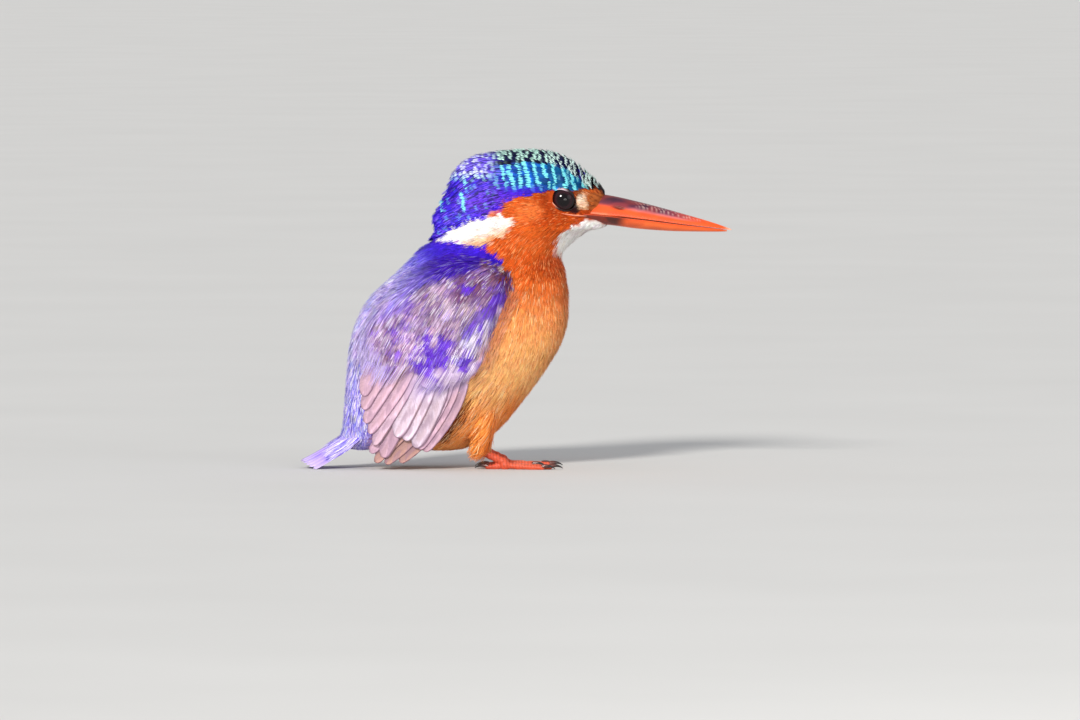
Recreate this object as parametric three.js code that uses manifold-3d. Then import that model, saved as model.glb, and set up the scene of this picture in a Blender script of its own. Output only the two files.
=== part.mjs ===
// A life-size malachite kingfisher at rest: an upright small bird with a dagger bill, a flat crest, drooped
// wings and a short tail that touches the surface it stands on. Millimetres, +X towards the bill, +Y to the
// bird's left, +Z up, with the floor at Z = 0. The bird is the same on both sides of the plane Y = 0.
// Every soft part's solid reaches to the tips of its feathers.
import * as THREE from "three";
import { mergeVertices } from "three/addons/utils/BufferGeometryUtils.js";
import Module from "manifold-3d";

const wasm = await Module();
wasm.setup();

// ---- Driving dimensions ----

const GAP = 0.3; // between neighbouring pieces
const FAR = 90; // past every side of the bird

// The plumage in horizontal slices, from the underside of the belly to the top of the crest:
// height, then the slice's rear and front ends along X, then half its width.
const BODY = [
  [4.0, -40.0, -15.4, 1.2],
  [4.6, -44.0, -12.8, 3.2],
  [5.4, -46.0, -11.4, 4.8],
  [6.8, -45.9, -8.6, 6.9],
  [8.7, -45.3, -5.4, 8.8],
  [11.2, -44.8, -2.8, 10.4],
  [15.0, -44.5, 0.2, 11.9],
  [20.0, -44.1, 4.1, 13.1],
  [26.0, -43.7, 8.2, 14.0],
  [32.0, -42.9, 11.4, 14.4],
  [38.0, -41.0, 12.8, 14.2],
  [43.0, -38.1, 12.9, 13.5],
  [47.5, -33.4, 12.6, 12.5],
  [50.5, -30.1, 12.1, 11.6],
  [53.0, -27.6, 11.4, 10.8],
  [55.2, -25.6, 13.2, 10.3],
  [57.2, -22.4, 15.2, 9.9],
  [58.8, -21.2, 18.0, 9.7],
  [60.2, -21.2, 22.6, 9.6],
  [62.0, -22.0, 22.9, 9.5],
  [65.0, -20.6, 22.9, 9.4],
  [68.5, -19.0, 21.8, 9.1],
  [71.5, -17.9, 18.9, 8.5],
  [74.3, -16.7, 16.5, 7.5],
  [76.6, -14.8, 14.0, 6.0],
  [78.3, -11.8, 11.1, 4.3],
  [79.3, -7.4, 7.4, 2.7],
  [80.0, -1.6, 1.6, 0.5],
];
const WIDEST_AT = { trunk: 0.5, head: 0.42, from: 44, to: 60 }; // share of a slice's length, from its rear
const POINTED = { face: 1.35, crest: 1.2 }; // how far the head narrows towards the bill and the nape; 1 is an ellipse

// The bill from inside the face to the tip: X, culmen, line between the mandibles, keel, half width.
const BILL = [
  [15.0, 69.25, 63.9, 61.2, 4.05],
  [21.9, 68.3, 63.2, 60.8, 3.7],
  [30.1, 66.5, 62.3, 59.8, 2.9],
  [40.1, 63.8, 61.0, 59.2, 1.9],
  [48.9, 61.2, 60.0, 59.1, 0.95],
  [52.9, 59.75, 59.45, 59.2, 0.22],
];
const LOWER_MANDIBLE_ENDS = 51.8;

const EYE = { at: [10.9, -4.0, 67.3], radius: 3.5 };

// Lines in side view, rear end first, that part the plumage: X, Z.
const CREST_LINE = [
  [-FAR, 57.8], [-21.9, 57.8], [-17.4, 60.8], [-9.9, 63.2], [-4.9, 64.5], [-3.4, 67.0],
  [2.6, 68.8], [8.0, 70.6], [15.0, 70.9], [22.0, 69.4], [FAR, 69.4],
];
const HEAD_LINE = [[-FAR, 66.0], [-22.0, 57.3], [11.0, 52.6], [FAR, 42.0]];
const NECK_LINE = [[-FAR, 62.0], [-28.6, 53.6], [-12.0, 50.2], [4.0, 46.2], [12.6, 44.8], [FAR, 42.0]];
const RUMP_LINE = [[-FAR, 36.0], [-43.5, 21.0], [-33.0, 12.5], [-22.0, 0.0], [FAR, -60.0]];

// The folded wing in side view. Its layers lie over the trunk: primaries, secondaries, then coverts.
const LAYER = { primaries: [0.35, 1.05], secondaries: [1.35, 2.05], coverts: 0.35 };
const COVERTS_SWELL = { half: 3.0, rear: 2.6, front: -5.5, thinsFrom: 42, thinsTo: 57, thin: 0.3 };
const WING_HANGS_FROM = 15; // below this height the wing's surface goes straight down
const WING_TURNS_IN = 0.22; // and this much inwards for each millimetre down
const PRIMARY_TIPS = [[-22.4, 5.0], [-25.4, 3.9], [-28.4, 2.8], [-31.4, 1.8], [-34.2, 1.2], [-36.8, 1.5], [-38.8, 2.8]];
const SECONDARY_TIPS = [
  [-22.2, 7.6], [-24.9, 6.7], [-27.9, 5.8], [-31.0, 5.1], [-34.2, 5.2], [-37.0, 7.2], [-39.1, 10.8], [-40.2, 15.4],
];
const GREATER_COVERT_TIPS = [[-11.2, 26.4], [-14.4, 25.2], [-17.6, 24.4], [-20.8, 24.1], [-24.0, 24.2], [-27.0, 25.4]];
const SCAPULAR_TIPS = [[-28.2, 23.6], [-31.8, 21.2], [-35.8, 21.2], [-39.0, 24.6]];
const COVERTS_FRONT = [
  [-10.1, 27.2], [-7.1, 32.0], [-4.3, 37.0], [-2.0, 42.0], [-1.1, 45.8], [-1.7, 49.3], [-4.0, 51.8], [-7.6, 53.0],
];
const SHOULDER_LINE = [[-10.0, 52.8], [-16.5, 44.5], [-22.6, 35.6]]; // between the coverts and the scapulars
const SCAPULARS_REAR = [[-40.4, 31.0], [-38.2, 38.0], [-33.2, 45.2], [-25.8, 51.4], [-17.6, 55.0], [-10.6, 55.0]];

// The tail: a closed fan, arched from side to side, from inside the rump down to the floor.
const TAIL = {
  base: [-37.0, 13.2],
  bend: [-45.4, 6.8],
  tip: [-54.8, 1.95],
  halfWidth: [3.6, 6.2],
  arch: 4.0,
  thickness: 0.95,
  feathers: 12,
  shortening: 2.4, // how much shorter the outermost feathers are
};
const UNDERTAIL = { from: [-24.0, 7.0], to: [-50.0, 2.4], halfWidth: 4.4, halfHeight: 2.7 };

// One leg, on the bird's right side.
const THIGH = { from: [-8.6, -5.2, 17.0], to: [-9.4, -5.6, 4.6], radius: [4.6, 2.0] };
const TARSUS = { from: [-10.4, -5.6, 4.9], to: [-3.4, -5.8, 1.6], radius: [1.0, 1.05] };
const TOE_RADIUS = 0.85;
const TOE_HEIGHT = [1.0, 0.52]; // of a toe's centre line, at the foot and beyond; the floor cuts each sole flat
const TOES = [
  { name: "inner", length: 7.6, heading: 14 },
  { name: "middle", length: 11.6, heading: -2 },
  { name: "outer", length: 9.9, heading: -12 },
  { name: "hind", length: 5.2, heading: 172 },
];
const CLAW = { length: 3.2, rise: 0.6, root: 0.58, tip: 0.15 };

// ---- Small tools ----

// A smooth curve through one column of a table, with no overshoot between its rows.
function curveThrough(table, column) {
  const at = table.map((row) => row[0]);
  const value = table.map((row) => row[column]);
  const slope = at.slice(1).map((x, i) => (value[i + 1] - value[i]) / (x - at[i]));
  const tangent = at.map((_, i) => {
    const [before, after] = [slope[i - 1] ?? slope[i], slope[i] ?? slope[i - 1]];
    return before * after <= 0 ? 0 : (2 * before * after) / (before + after);
  });
  return (x) => {
    let i = 0;
    while (i < at.length - 2 && x > at[i + 1]) i += 1;
    const width = at[i + 1] - at[i];
    const t = THREE.MathUtils.clamp((x - at[i]) / width, 0, 1);
    const [t2, t3] = [t * t, t * t * t];
    return (
      (2 * t3 - 3 * t2 + 1) * value[i] +
      (t3 - 2 * t2 + t) * width * tangent[i] +
      (3 * t2 - 2 * t3) * value[i + 1] +
      (t3 - t2) * width * tangent[i + 1]
    );
  };
}

// A closed surface over rings of points, with a fan over each end ring.
function loft(rings) {
  const count = rings[0].length;
  const middle = (ring) => ring.reduce((sum, p) => sum.add(p), new THREE.Vector3()).divideScalar(count);
  const points = [...rings.flat(), middle(rings[0]), middle(rings.at(-1))];
  const [first, last] = [points.length - 2, points.length - 1];
  const faces = [];
  for (let i = 0; i < count; i += 1) {
    const next = (i + 1) % count;
    faces.push(first, next, i);
    faces.push(last, (rings.length - 1) * count + i, (rings.length - 1) * count + next);
    for (let j = 0; j + 1 < rings.length; j += 1) {
      const [a, b] = [j * count + i, j * count + next];
      faces.push(a, b, a + count, b, b + count, a + count);
    }
  }
  const geometry = new THREE.BufferGeometry().setFromPoints(points);
  geometry.setIndex(faces);
  geometry.computeVertexNormals();
  return geometry;
}

// The same surface moved outwards along its normals.
function grown(geometry, distance) {
  const moved = geometry.clone();
  const [place, normal] = [moved.attributes.position, moved.attributes.normal];
  for (let i = 0; i < place.count; i += 1) {
    place.setXYZ(
      i,
      place.getX(i) + normal.getX(i) * distance,
      place.getY(i) + normal.getY(i) * distance,
      place.getZ(i) + normal.getZ(i) * distance,
    );
  }
  return moved;
}

function solid(geometry) {
  const bare = geometry.clone();
  bare.deleteAttribute("normal");
  bare.deleteAttribute("uv");
  const merged = mergeVertices(bare, 1e-4);
  const made = new wasm.Manifold(
    new wasm.Mesh({
      numProp: 3,
      vertProperties: new Float32Array(merged.attributes.position.array),
      triVerts: new Uint32Array(merged.index.array),
    }),
  );
  if (made.volume() > 0) return made;
  for (let i = 0; i < merged.index.count; i += 3) {
    const [b, c] = [merged.index.getX(i + 1), merged.index.getX(i + 2)];
    merged.index.setX(i + 1, c);
    merged.index.setX(i + 2, b);
  }
  return solid(merged);
}

// The largest connected part of a solid, without the slivers that a cut can leave.
function largest(cut) {
  return cut.decompose().sort((a, b) => b.volume() - a.volume())[0];
}

function geometryOf(cut) {
  const { numProp, vertProperties, triVerts } = cut.getMesh();
  const points = [];
  for (let i = 0; i < vertProperties.length; i += numProp) {
    points.push(new THREE.Vector3().fromArray(vertProperties, i));
  }
  const geometry = new THREE.BufferGeometry().setFromPoints(points);
  geometry.setIndex([...triVerts]);
  return geometry;
}

// An outline in side view, X and Z, carried from one Y to another.
function prism(outline, yLow, yHigh) {
  const shape = new THREE.Shape(outline.map(([x, z]) => new THREE.Vector2(x, z)));
  const geometry = new THREE.ExtrudeGeometry(shape, { depth: yHigh - yLow, bevelEnabled: false });
  geometry.rotateX(Math.PI / 2);
  geometry.translate(0, yHigh, 0);
  return solid(geometry);
}

const above = (line) => prism([...line, [FAR, FAR], [-FAR, FAR]], -FAR, FAR);

function below(line) {
  const lowered = line.map(([x, z]) => [x, z - GAP]);
  return prism([...lowered, [FAR, -FAR], [-FAR, -FAR]], -FAR, FAR);
}

const FLOOR_CUT = prism([[-FAR, 0], [FAR, 0], [FAR, FAR], [-FAR, FAR]], -FAR, FAR);

// Rings of a round rod along a curve, its radius given from 0 to 1 along it.
function rod(curve, radiusAt, steps, sides) {
  const rings = [];
  const side = new THREE.Vector3(0, 1, 0);
  for (let j = 0; j <= steps; j += 1) {
    const along = curve.getTangent(j / steps);
    const up = new THREE.Vector3().crossVectors(along, side).normalize();
    const across = new THREE.Vector3().crossVectors(up, along);
    rings.push(
      Array.from({ length: sides }, (_, i) => {
        const angle = (2 * Math.PI * i) / sides;
        const out = up.clone().multiplyScalar(Math.cos(angle)).addScaledVector(across, Math.sin(angle));
        return curve.getPoint(j / steps).addScaledVector(out, radiusAt(j / steps));
      }),
    );
  }
  return loft(rings);
}

// ---- Plumage of the head and trunk ----

const [bodyRear, bodyFront, bodyHalf] = [1, 2, 3].map((column) => curveThrough(BODY, column));

function slice(z) {
  const headward = THREE.MathUtils.smoothstep(z, WIDEST_AT.from, WIDEST_AT.to);
  const share = THREE.MathUtils.lerp(WIDEST_AT.trunk, WIDEST_AT.head, headward);
  const [rear, front] = [bodyRear(z), bodyFront(z)];
  return { rear, front, headward, half: bodyHalf(z), widest: THREE.MathUtils.lerp(rear, front, share) };
}

// The wing's slices follow the trunk down to its hang line, and then go on straight down.
function wingSlice(z) {
  const here = slice(Math.max(z, WING_HANGS_FROM));
  here.half -= WING_TURNS_IN * Math.max(0, WING_HANGS_FROM - z);
  return here;
}

// The coverts swell away from the trunk over the wing's middle and thin towards its front and its shoulder.
function covertsSlice(z) {
  const here = wingSlice(z);
  const thinned = THREE.MathUtils.smoothstep(z, COVERTS_SWELL.thinsFrom, COVERTS_SWELL.thinsTo);
  here.half += THREE.MathUtils.lerp(COVERTS_SWELL.half, COVERTS_SWELL.thin, thinned);
  here.rear -= COVERTS_SWELL.rear;
  here.front += COVERTS_SWELL.front * (1 - thinned);
  return here;
}

function ringOf({ rear, front, half, widest, headward }, z, sides) {
  return Array.from({ length: sides }, (_, i) => {
    const angle = (2 * Math.PI * i) / sides;
    const [ahead, aside] = [Math.cos(angle), Math.sin(angle)];
    const reach = ahead > 0 ? front - widest : widest - rear;
    const point = THREE.MathUtils.lerp(1, ahead > 0 ? POINTED.face : POINTED.crest, headward);
    const across = Math.sign(aside) * Math.abs(aside) ** point;
    return new THREE.Vector3(widest + reach * ahead, half * across, z);
  });
}

// Slices lie closer together towards the two ends, where the outline turns fastest.
function sliced(section, low, high, rows, sides) {
  const rings = [];
  for (let j = 0; j <= rows; j += 1) {
    const z = THREE.MathUtils.lerp(low, high, (1 - Math.cos((Math.PI * j) / rows)) / 2);
    rings.push(ringOf(section(z), z, sides));
  }
  return loft(rings);
}

const bodySurface = sliced(slice, BODY[0][0], BODY.at(-1)[0], 24, 22);
const body = solid(bodySurface);
const roomForBody = solid(grown(bodySurface, GAP));
const wingSurface = sliced(wingSlice, -6, 62, 12, 20);
const covertsSurface = sliced(covertsSlice, -6, 62, 12, 20);

// ---- Bill ----

const [culmenAt, gapeAt, keelAt, billHalfAt] = [1, 2, 3, 4].map((column) => curveThrough(BILL, column));

// One mandible: half rounds over or under the line where the two meet.
function mandible(edgeAt, end, clearance) {
  const [steps, sides] = [8, 8];
  const start = BILL[0][0];
  const rings = [];
  for (let j = 0; j <= steps; j += 1) {
    const x = THREE.MathUtils.lerp(start, end, 1 - (1 - j / steps) ** 1.25);
    const sign = Math.sign(edgeAt(x) - gapeAt(x));
    const flat = gapeAt(x) + sign * (GAP / 2 - clearance);
    const depth = Math.abs(edgeAt(x) - flat) + clearance;
    rings.push(
      Array.from({ length: sides }, (_, i) => {
        const angle = (Math.PI * i) / (sides - 1);
        const across = Math.sign(Math.cos(angle)) * Math.abs(Math.cos(angle)) ** 1.15;
        const out = Math.sin(angle) ** 1.15;
        return new THREE.Vector3(x, (billHalfAt(x) + clearance) * across, flat + sign * depth * out);
      }),
    );
  }
  return loft(rings);
}

const billEnd = BILL.at(-1)[0];
const billUpper = solid(mandible(culmenAt, billEnd, 0));
const billLower = solid(mandible(keelAt, LOWER_MANDIBLE_ENDS, 0));
const roomForBill = solid(mandible(culmenAt, billEnd, GAP)).add(solid(mandible(keelAt, LOWER_MANDIBLE_ENDS, GAP)));

// ---- Eyes ----

function ball(radius, side) {
  const geometry = new THREE.SphereGeometry(radius, 12, 8);
  return geometry.translate(EYE.at[0], EYE.at[1] * side, EYE.at[2]);
}

const roomForEyes = solid(ball(EYE.radius + GAP, 1)).add(solid(ball(EYE.radius + GAP, -1)));

// ---- Wings ----

// An outline whose lower edge runs from tip to tip, each feather's end rounded between two notches.
function featherEdge(tips, notch) {
  const edge = [];
  tips.forEach(([x, z], i) => {
    const [bx, bz] = tips[i - 1] ?? [2 * x - tips[i + 1][0], 2 * z - tips[i + 1][1]];
    const [ax, az] = tips[i + 1] ?? [2 * x - bx, 2 * z - bz];
    const [nx, nz] = [(x + ax) / 2, (z + az) / 2];
    edge.push([x + (bx - x) * 0.25, z + (bz - z) * 0.25], [x + (ax - x) * 0.25, z + (az - z) * 0.25]);
    if (i + 1 < tips.length) edge.push([nx, nz + notch]);
  });
  return edge;
}

const primariesOutline = [
  [-10.4, 26.6], [-12.4, 20.8], [-16.1, 13.3], [-19.8, 7.8],
  ...featherEdge(PRIMARY_TIPS, 0.7),
  [-35.0, 8.0], [-27.0, 20.0], [-16.0, 30.0],
];
const secondariesOutline = [
  [-11.6, 27.6], [-13.9, 20.8], [-17.7, 13.4],
  ...featherEdge(SECONDARY_TIPS, 0.9),
  [-40.2, 18.6], [-38.4, 25.6], [-28.0, 28.6], [-15.0, 31.0],
];
const covertsOutline = [
  ...COVERTS_FRONT,
  ...SHOULDER_LINE,
  ...featherEdge(GREATER_COVERT_TIPS, 0.9).reverse(),
];
const scapularsOutline = [
  ...SHOULDER_LINE.toReversed(),
  ...SCAPULARS_REAR.toReversed(),
  ...featherEdge(SCAPULAR_TIPS, 1.2).reverse(),
].reverse();

// Pushes an outline outwards from its middle, as room for the piece it belongs to.
function widened(outline, distance) {
  return outline.map(([x, z], i) => {
    const [bx, bz] = outline.at(i - 1);
    const [ax, az] = outline[(i + 1) % outline.length];
    const away = new THREE.Vector2(az - bz, bx - ax).normalize();
    const turn = THREE.ShapeUtils.isClockWise(outline.map(([px, pz]) => new THREE.Vector2(px, pz))) ? -1 : 1;
    return [x + away.x * distance * turn, z + away.y * distance * turn];
  });
}

const shell = (offset) => solid(grown(wingSurface, offset));
const onRight = (outline) => prism(outline, -FAR, 0);
const layer = (outline, [inner, outer]) => onRight(outline).intersect(shell(outer)).subtract(shell(inner));
const roomFor = (outline, [, outer]) => onRight(widened(outline, GAP)).intersect(shell(outer + GAP));

const primaries = largest(layer(primariesOutline, LAYER.primaries).subtract(roomForBody));
const secondaries = largest(layer(secondariesOutline, LAYER.secondaries).subtract(roomForBody));
const roomForFlightFeathers = roomFor(primariesOutline, LAYER.primaries)
  .add(roomFor(secondariesOutline, LAYER.secondaries))
  .add(roomForBody);
const overCoverts = solid(covertsSurface).subtract(shell(LAYER.coverts)).subtract(roomForFlightFeathers);
const scapulars = largest(onRight(scapularsOutline).intersect(overCoverts));
const coverts = largest(onRight(covertsOutline).subtract(onRight(widened(scapularsOutline, GAP))).intersect(overCoverts));

// ---- Tail ----

// The fan as rings from base to tip. Each ring is the arched top edge and, under it, the lower one.
function tailFan(clearance) {
  const [steps, across] = [5, TAIL.feathers];
  const [base, bend, tip] = [TAIL.base, TAIL.bend, TAIL.tip].map(([x, z]) => new THREE.Vector3(x, 0, z));
  const middle = new THREE.QuadraticBezierCurve3(base, bend, tip);
  const rings = [];
  for (let j = 0; j <= steps; j += 1) {
    const row = (depth) =>
      Array.from({ length: across + 1 }, (_, i) => {
        const u = (2 * i) / across - 1;
        const outermost = TAIL.shortening * u * u + (i % 2 ? 0 : 0.5);
        const reach = (j / steps) * (1 - outermost / middle.getLength());
        const along = middle.getTangent(reach);
        const down = new THREE.Vector3(-along.z, 0, along.x);
        const half = THREE.MathUtils.lerp(...TAIL.halfWidth, j / steps) + clearance;
        const drop = TAIL.arch * (1 - Math.cos((u * Math.PI) / 2.4)) + depth;
        return middle.getPoint(reach).addScaledVector(down, drop).add(new THREE.Vector3(0, half * u, 0));
      });
    rings.push([...row(-clearance), ...row(TAIL.thickness + clearance).reverse()]);
  }
  return loft(rings);
}

const tailWhole = solid(tailFan(0)).intersect(FLOOR_CUT);
const roomForTail = solid(tailFan(GAP));
const tail = largest(tailWhole.subtract(roomForBody));

// A spindle of short feathers under the tail's root.
function undertailSpindle() {
  const [steps, sides] = [7, 10];
  const rings = [];
  for (let j = 0; j <= steps; j += 1) {
    const t = j / steps;
    const swell = Math.sqrt(Math.max(0.02, Math.sin(Math.PI * Math.min(1, 0.18 + 0.82 * t)))) * (1 - 0.45 * t);
    const [x, z] = [0, 1].map((k) => THREE.MathUtils.lerp(UNDERTAIL.from[k], UNDERTAIL.to[k], t));
    rings.push(
      Array.from({ length: sides }, (_, i) => {
        const angle = (2 * Math.PI * i) / sides;
        return new THREE.Vector3(
          x,
          UNDERTAIL.halfWidth * swell * Math.cos(angle),
          z + UNDERTAIL.halfHeight * swell * Math.sin(angle),
        );
      }),
    );
  }
  return loft(rings);
}

const undertail = largest(solid(undertailSpindle()).subtract(roomForBody).subtract(roomForTail));

// ---- Legs and feet ----

const point = (p) => new THREE.Vector3(...p);
const straight = (from, to) => new THREE.LineCurve3(point(from), point(to));

function thighRod(clearance) {
  const bulge = (t) => THREE.MathUtils.lerp(...THIGH.radius, t) * Math.sqrt(Math.min(1, 0.1 + 2.4 * t));
  return rod(straight(THIGH.from, THIGH.to), (t) => bulge(t) + clearance, 6, 10);
}

function tarsusRod(clearance) {
  return rod(straight(TARSUS.from, TARSUS.to), (t) => THREE.MathUtils.lerp(...TARSUS.radius, t) + clearance, 2, 8);
}

const heading = (degrees) => {
  const angle = THREE.MathUtils.degToRad(degrees);
  return new THREE.Vector3(Math.cos(angle), Math.sin(angle), 0);
};
const ankle = new THREE.Vector3(TARSUS.to[0], TARSUS.to[1], 0);

// A toe swells at each joint's pad and tapers to its claw.
function toeRod({ length, heading: degrees }) {
  const end = ankle.clone().addScaledVector(heading(degrees), length);
  const swell = (t) => TOE_RADIUS * (1 - 0.22 * t) * (1 + 0.09 * Math.cos(6 * Math.PI * t));
  const [rise, sole] = TOE_HEIGHT;
  const bend = ankle.clone().lerp(end, 0.5).setZ(sole);
  return rod(new THREE.QuadraticBezierCurve3(ankle.clone().setZ(rise), bend, end.setZ(sole)), swell, 4, 7);
}

function clawRod({ length, heading: degrees }, clearance) {
  const ahead = heading(degrees);
  const root = ankle.clone().addScaledVector(ahead, length - 0.5);
  root.z = TOE_HEIGHT[1] + 0.2;
  const top = root.clone().addScaledVector(ahead, CLAW.length * 0.55);
  top.z += CLAW.rise;
  const end = root.clone().addScaledVector(ahead, CLAW.length);
  end.z = CLAW.tip + 0.12;
  const taper = (t) => THREE.MathUtils.lerp(CLAW.root, CLAW.tip, t) + clearance;
  return rod(new THREE.QuadraticBezierCurve3(root, top, end), taper, 3, 6);
}

const tarsus = solid(tarsusRod(0)).subtract(solid(thighRod(GAP)));
const roomForTarsus = solid(tarsusRod(GAP));
const claws = TOES.map((toe) => solid(clawRod(toe, 0)));
let foot = TOES.map((toe) => solid(toeRod(toe))).reduce((whole, toe) => whole.add(toe));
const knuckle = new THREE.SphereGeometry(1.25, 7, 5).translate(ankle.x, ankle.y, 1.0);
foot = foot.add(solid(knuckle)).subtract(roomForTarsus).intersect(FLOOR_CUT);
for (const toe of TOES) foot = foot.subtract(solid(clawRod(toe, GAP)));
foot = largest(foot);

// ---- The plumage, parted ----

const mirrored = (made) => {
  const geometry = geometryOf(made).scale(1, -1, 1);
  return solid(geometry);
};
const thigh = solid(thighRod(0)).subtract(solid(clawRod(TOES[3], GAP)));
const roomForLegs = solid(thighRod(GAP)).add(roomForTarsus);
const cored = body.subtract(roomForLegs).subtract(mirrored(roomForLegs));
const crest = cored.intersect(above(CREST_LINE)).subtract(roomForEyes).subtract(roomForBill);
const head = cored.intersect(below(CREST_LINE)).intersect(above(HEAD_LINE)).subtract(roomForEyes).subtract(roomForBill);
const neck = cored.intersect(below(HEAD_LINE)).intersect(above(NECK_LINE));
const trunk = cored.intersect(below(NECK_LINE)).intersect(above(RUMP_LINE));
const rump = cored.intersect(below(RUMP_LINE));

// ---- Materials and the scene graph ----

const material = (color, roughness) => new THREE.MeshStandardMaterial({ color, roughness, metalness: 0 });
const COLOURS = {
  crest: material(0x2a5fd0, 0.6),
  rufous: material(0xc5622a, 0.8),
  blue: material(0x3f3fd6, 0.6),
  wing: material(0xa88fc4, 0.65),
  flight: material(0xc9a9bd, 0.65),
  bill: material(0xd9502a, 0.35),
  eye: material(0x120c0c, 0.08),
  foot: material(0xd8492c, 0.5),
  claw: material(0x4a2a22, 0.4),
};

const bird = new THREE.Group();

function place(name, made, colour) {
  const mesh = new THREE.Mesh(geometryOf(made), COLOURS[colour]);
  mesh.name = name;
  bird.add(mesh);
  return mesh;
}

function placePair(name, made, colour) {
  place(`${name}_right`, made, colour);
  place(`${name}_left`, made, colour).scale.y = -1;
}

place("crest", largest(crest), "crest");
place("head", largest(head), "rufous");
place("neck", largest(neck), "rufous");
place("trunk", largest(trunk), "rufous");
place("rump", largest(rump), "blue");
place("bill_upper", billUpper, "bill");
place("bill_lower", billLower, "bill");
place("tail", tail, "blue");
place("undertail_coverts", undertail, "rufous");
placePair("eye", solid(ball(EYE.radius, 1)), "eye");
placePair("scapulars", scapulars, "blue");
placePair("wing_coverts", coverts, "wing");
placePair("wing_secondaries", secondaries, "flight");
placePair("wing_primaries", primaries, "flight");
placePair("thigh", thigh, "rufous");
placePair("tarsus", largest(tarsus), "foot");
placePair("foot", foot, "foot");
TOES.forEach((toe, i) => placePair(`claw_${toe.name}`, claws[i], "claw"));

// The origin lies on the floor, midway between the bill's tip and the tail's.
const extent = new THREE.Box3().setFromObject(bird);
bird.position.x = -(extent.min.x + extent.max.x) / 2;

export default bird;
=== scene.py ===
"""A life-size malachite kingfisher at rest, dressed over its CAD solids.

One skin follows the bird's drawing a little below the plumage, and small mesh feathers cover it:
barbed tufts on the face, breast and belly, vanes on the crest, back and wings, and whole
feathers with shafts in the wings and tail. Sizes are in millimetres of the CAD drawing until a
mesh is made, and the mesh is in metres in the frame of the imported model. Colours are written as
screen colours from 0 to 255.
"""
import math
from collections import namedtuple

import bpy
import numpy as np
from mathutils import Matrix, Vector
from mathutils.bvhtree import BVHTree


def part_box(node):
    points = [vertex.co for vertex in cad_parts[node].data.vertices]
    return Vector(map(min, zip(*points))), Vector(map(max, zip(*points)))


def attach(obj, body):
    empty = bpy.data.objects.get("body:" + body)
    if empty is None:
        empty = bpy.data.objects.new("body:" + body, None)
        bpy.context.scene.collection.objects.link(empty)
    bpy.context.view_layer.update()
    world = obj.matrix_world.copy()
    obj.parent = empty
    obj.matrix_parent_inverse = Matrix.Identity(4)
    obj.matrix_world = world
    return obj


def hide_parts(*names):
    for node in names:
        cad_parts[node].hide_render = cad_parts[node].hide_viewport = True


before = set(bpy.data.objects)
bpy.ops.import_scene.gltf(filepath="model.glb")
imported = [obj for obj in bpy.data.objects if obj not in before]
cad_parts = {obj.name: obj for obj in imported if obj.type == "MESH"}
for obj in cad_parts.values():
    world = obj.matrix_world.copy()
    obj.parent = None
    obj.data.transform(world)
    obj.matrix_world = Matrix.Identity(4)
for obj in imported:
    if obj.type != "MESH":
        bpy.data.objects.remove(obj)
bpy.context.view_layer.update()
rng = np.random.default_rng(11)
MM = 0.001
# What lies to a side is drawn on the bird's right, where Y is negative, and mirrored for its left.
SIDES = (("right", 1), ("left", -1))

# ---- The drawing, as in the CAD source ----

# Horizontal slices of the plumage: height, rear end, front end, half width.
BODY = np.array([
    [4.0, -40.0, -15.4, 1.2],
    [4.6, -44.0, -12.8, 3.2],
    [5.4, -46.0, -11.4, 4.8],
    [6.8, -45.9, -8.6, 6.9],
    [8.7, -45.3, -5.4, 8.8],
    [11.2, -44.8, -2.8, 10.4],
    [15.0, -44.5, 0.2, 11.9],
    [20.0, -44.1, 4.1, 13.1],
    [26.0, -43.7, 8.2, 14.0],
    [32.0, -42.9, 11.4, 14.4],
    [38.0, -41.0, 12.8, 14.2],
    [43.0, -38.1, 12.9, 13.5],
    [47.5, -33.4, 12.6, 12.5],
    [50.5, -30.1, 12.1, 11.6],
    [53.0, -27.6, 11.4, 10.8],
    [55.2, -25.6, 13.2, 10.3],
    [57.2, -22.4, 15.2, 9.9],
    [58.8, -21.2, 18.0, 9.7],
    [60.2, -21.2, 22.6, 9.6],
    [62.0, -22.0, 22.9, 9.5],
    [65.0, -20.6, 22.9, 9.4],
    [68.5, -19.0, 21.8, 9.1],
    [71.5, -17.9, 18.9, 8.5],
    [74.3, -16.7, 16.5, 7.5],
    [76.6, -14.8, 14.0, 6.0],
    [78.3, -11.8, 11.1, 4.3],
    [79.3, -7.4, 7.4, 2.7],
    [80.0, -1.6, 1.6, 0.5],
])
WIDEST = {"trunk": 0.50, "head": 0.42, "from": 44.0, "to": 60.0}
POINTED = {"face": 1.35, "crest": 1.2}

# X, culmen, line between the mandibles, keel, half width.
BILL = np.array([
    [15.0, 69.25, 63.9, 61.2, 4.05],
    [21.9, 68.3, 63.2, 60.8, 3.7],
    [30.1, 66.5, 62.3, 59.8, 2.9],
    [40.1, 63.8, 61.0, 59.2, 1.9],
    [48.9, 61.2, 60.0, 59.1, 0.95],
    [52.9, 59.75, 59.45, 59.2, 0.22],
])
LOWER_MANDIBLE_ENDS = 51.8
EYE = np.array([10.9, -4.0, 67.3])
EYE_RADIUS = 3.5
EYE_OPENING = {"long": 3.3, "short": 2.4, "slant": math.radians(-28.0)}

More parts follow.
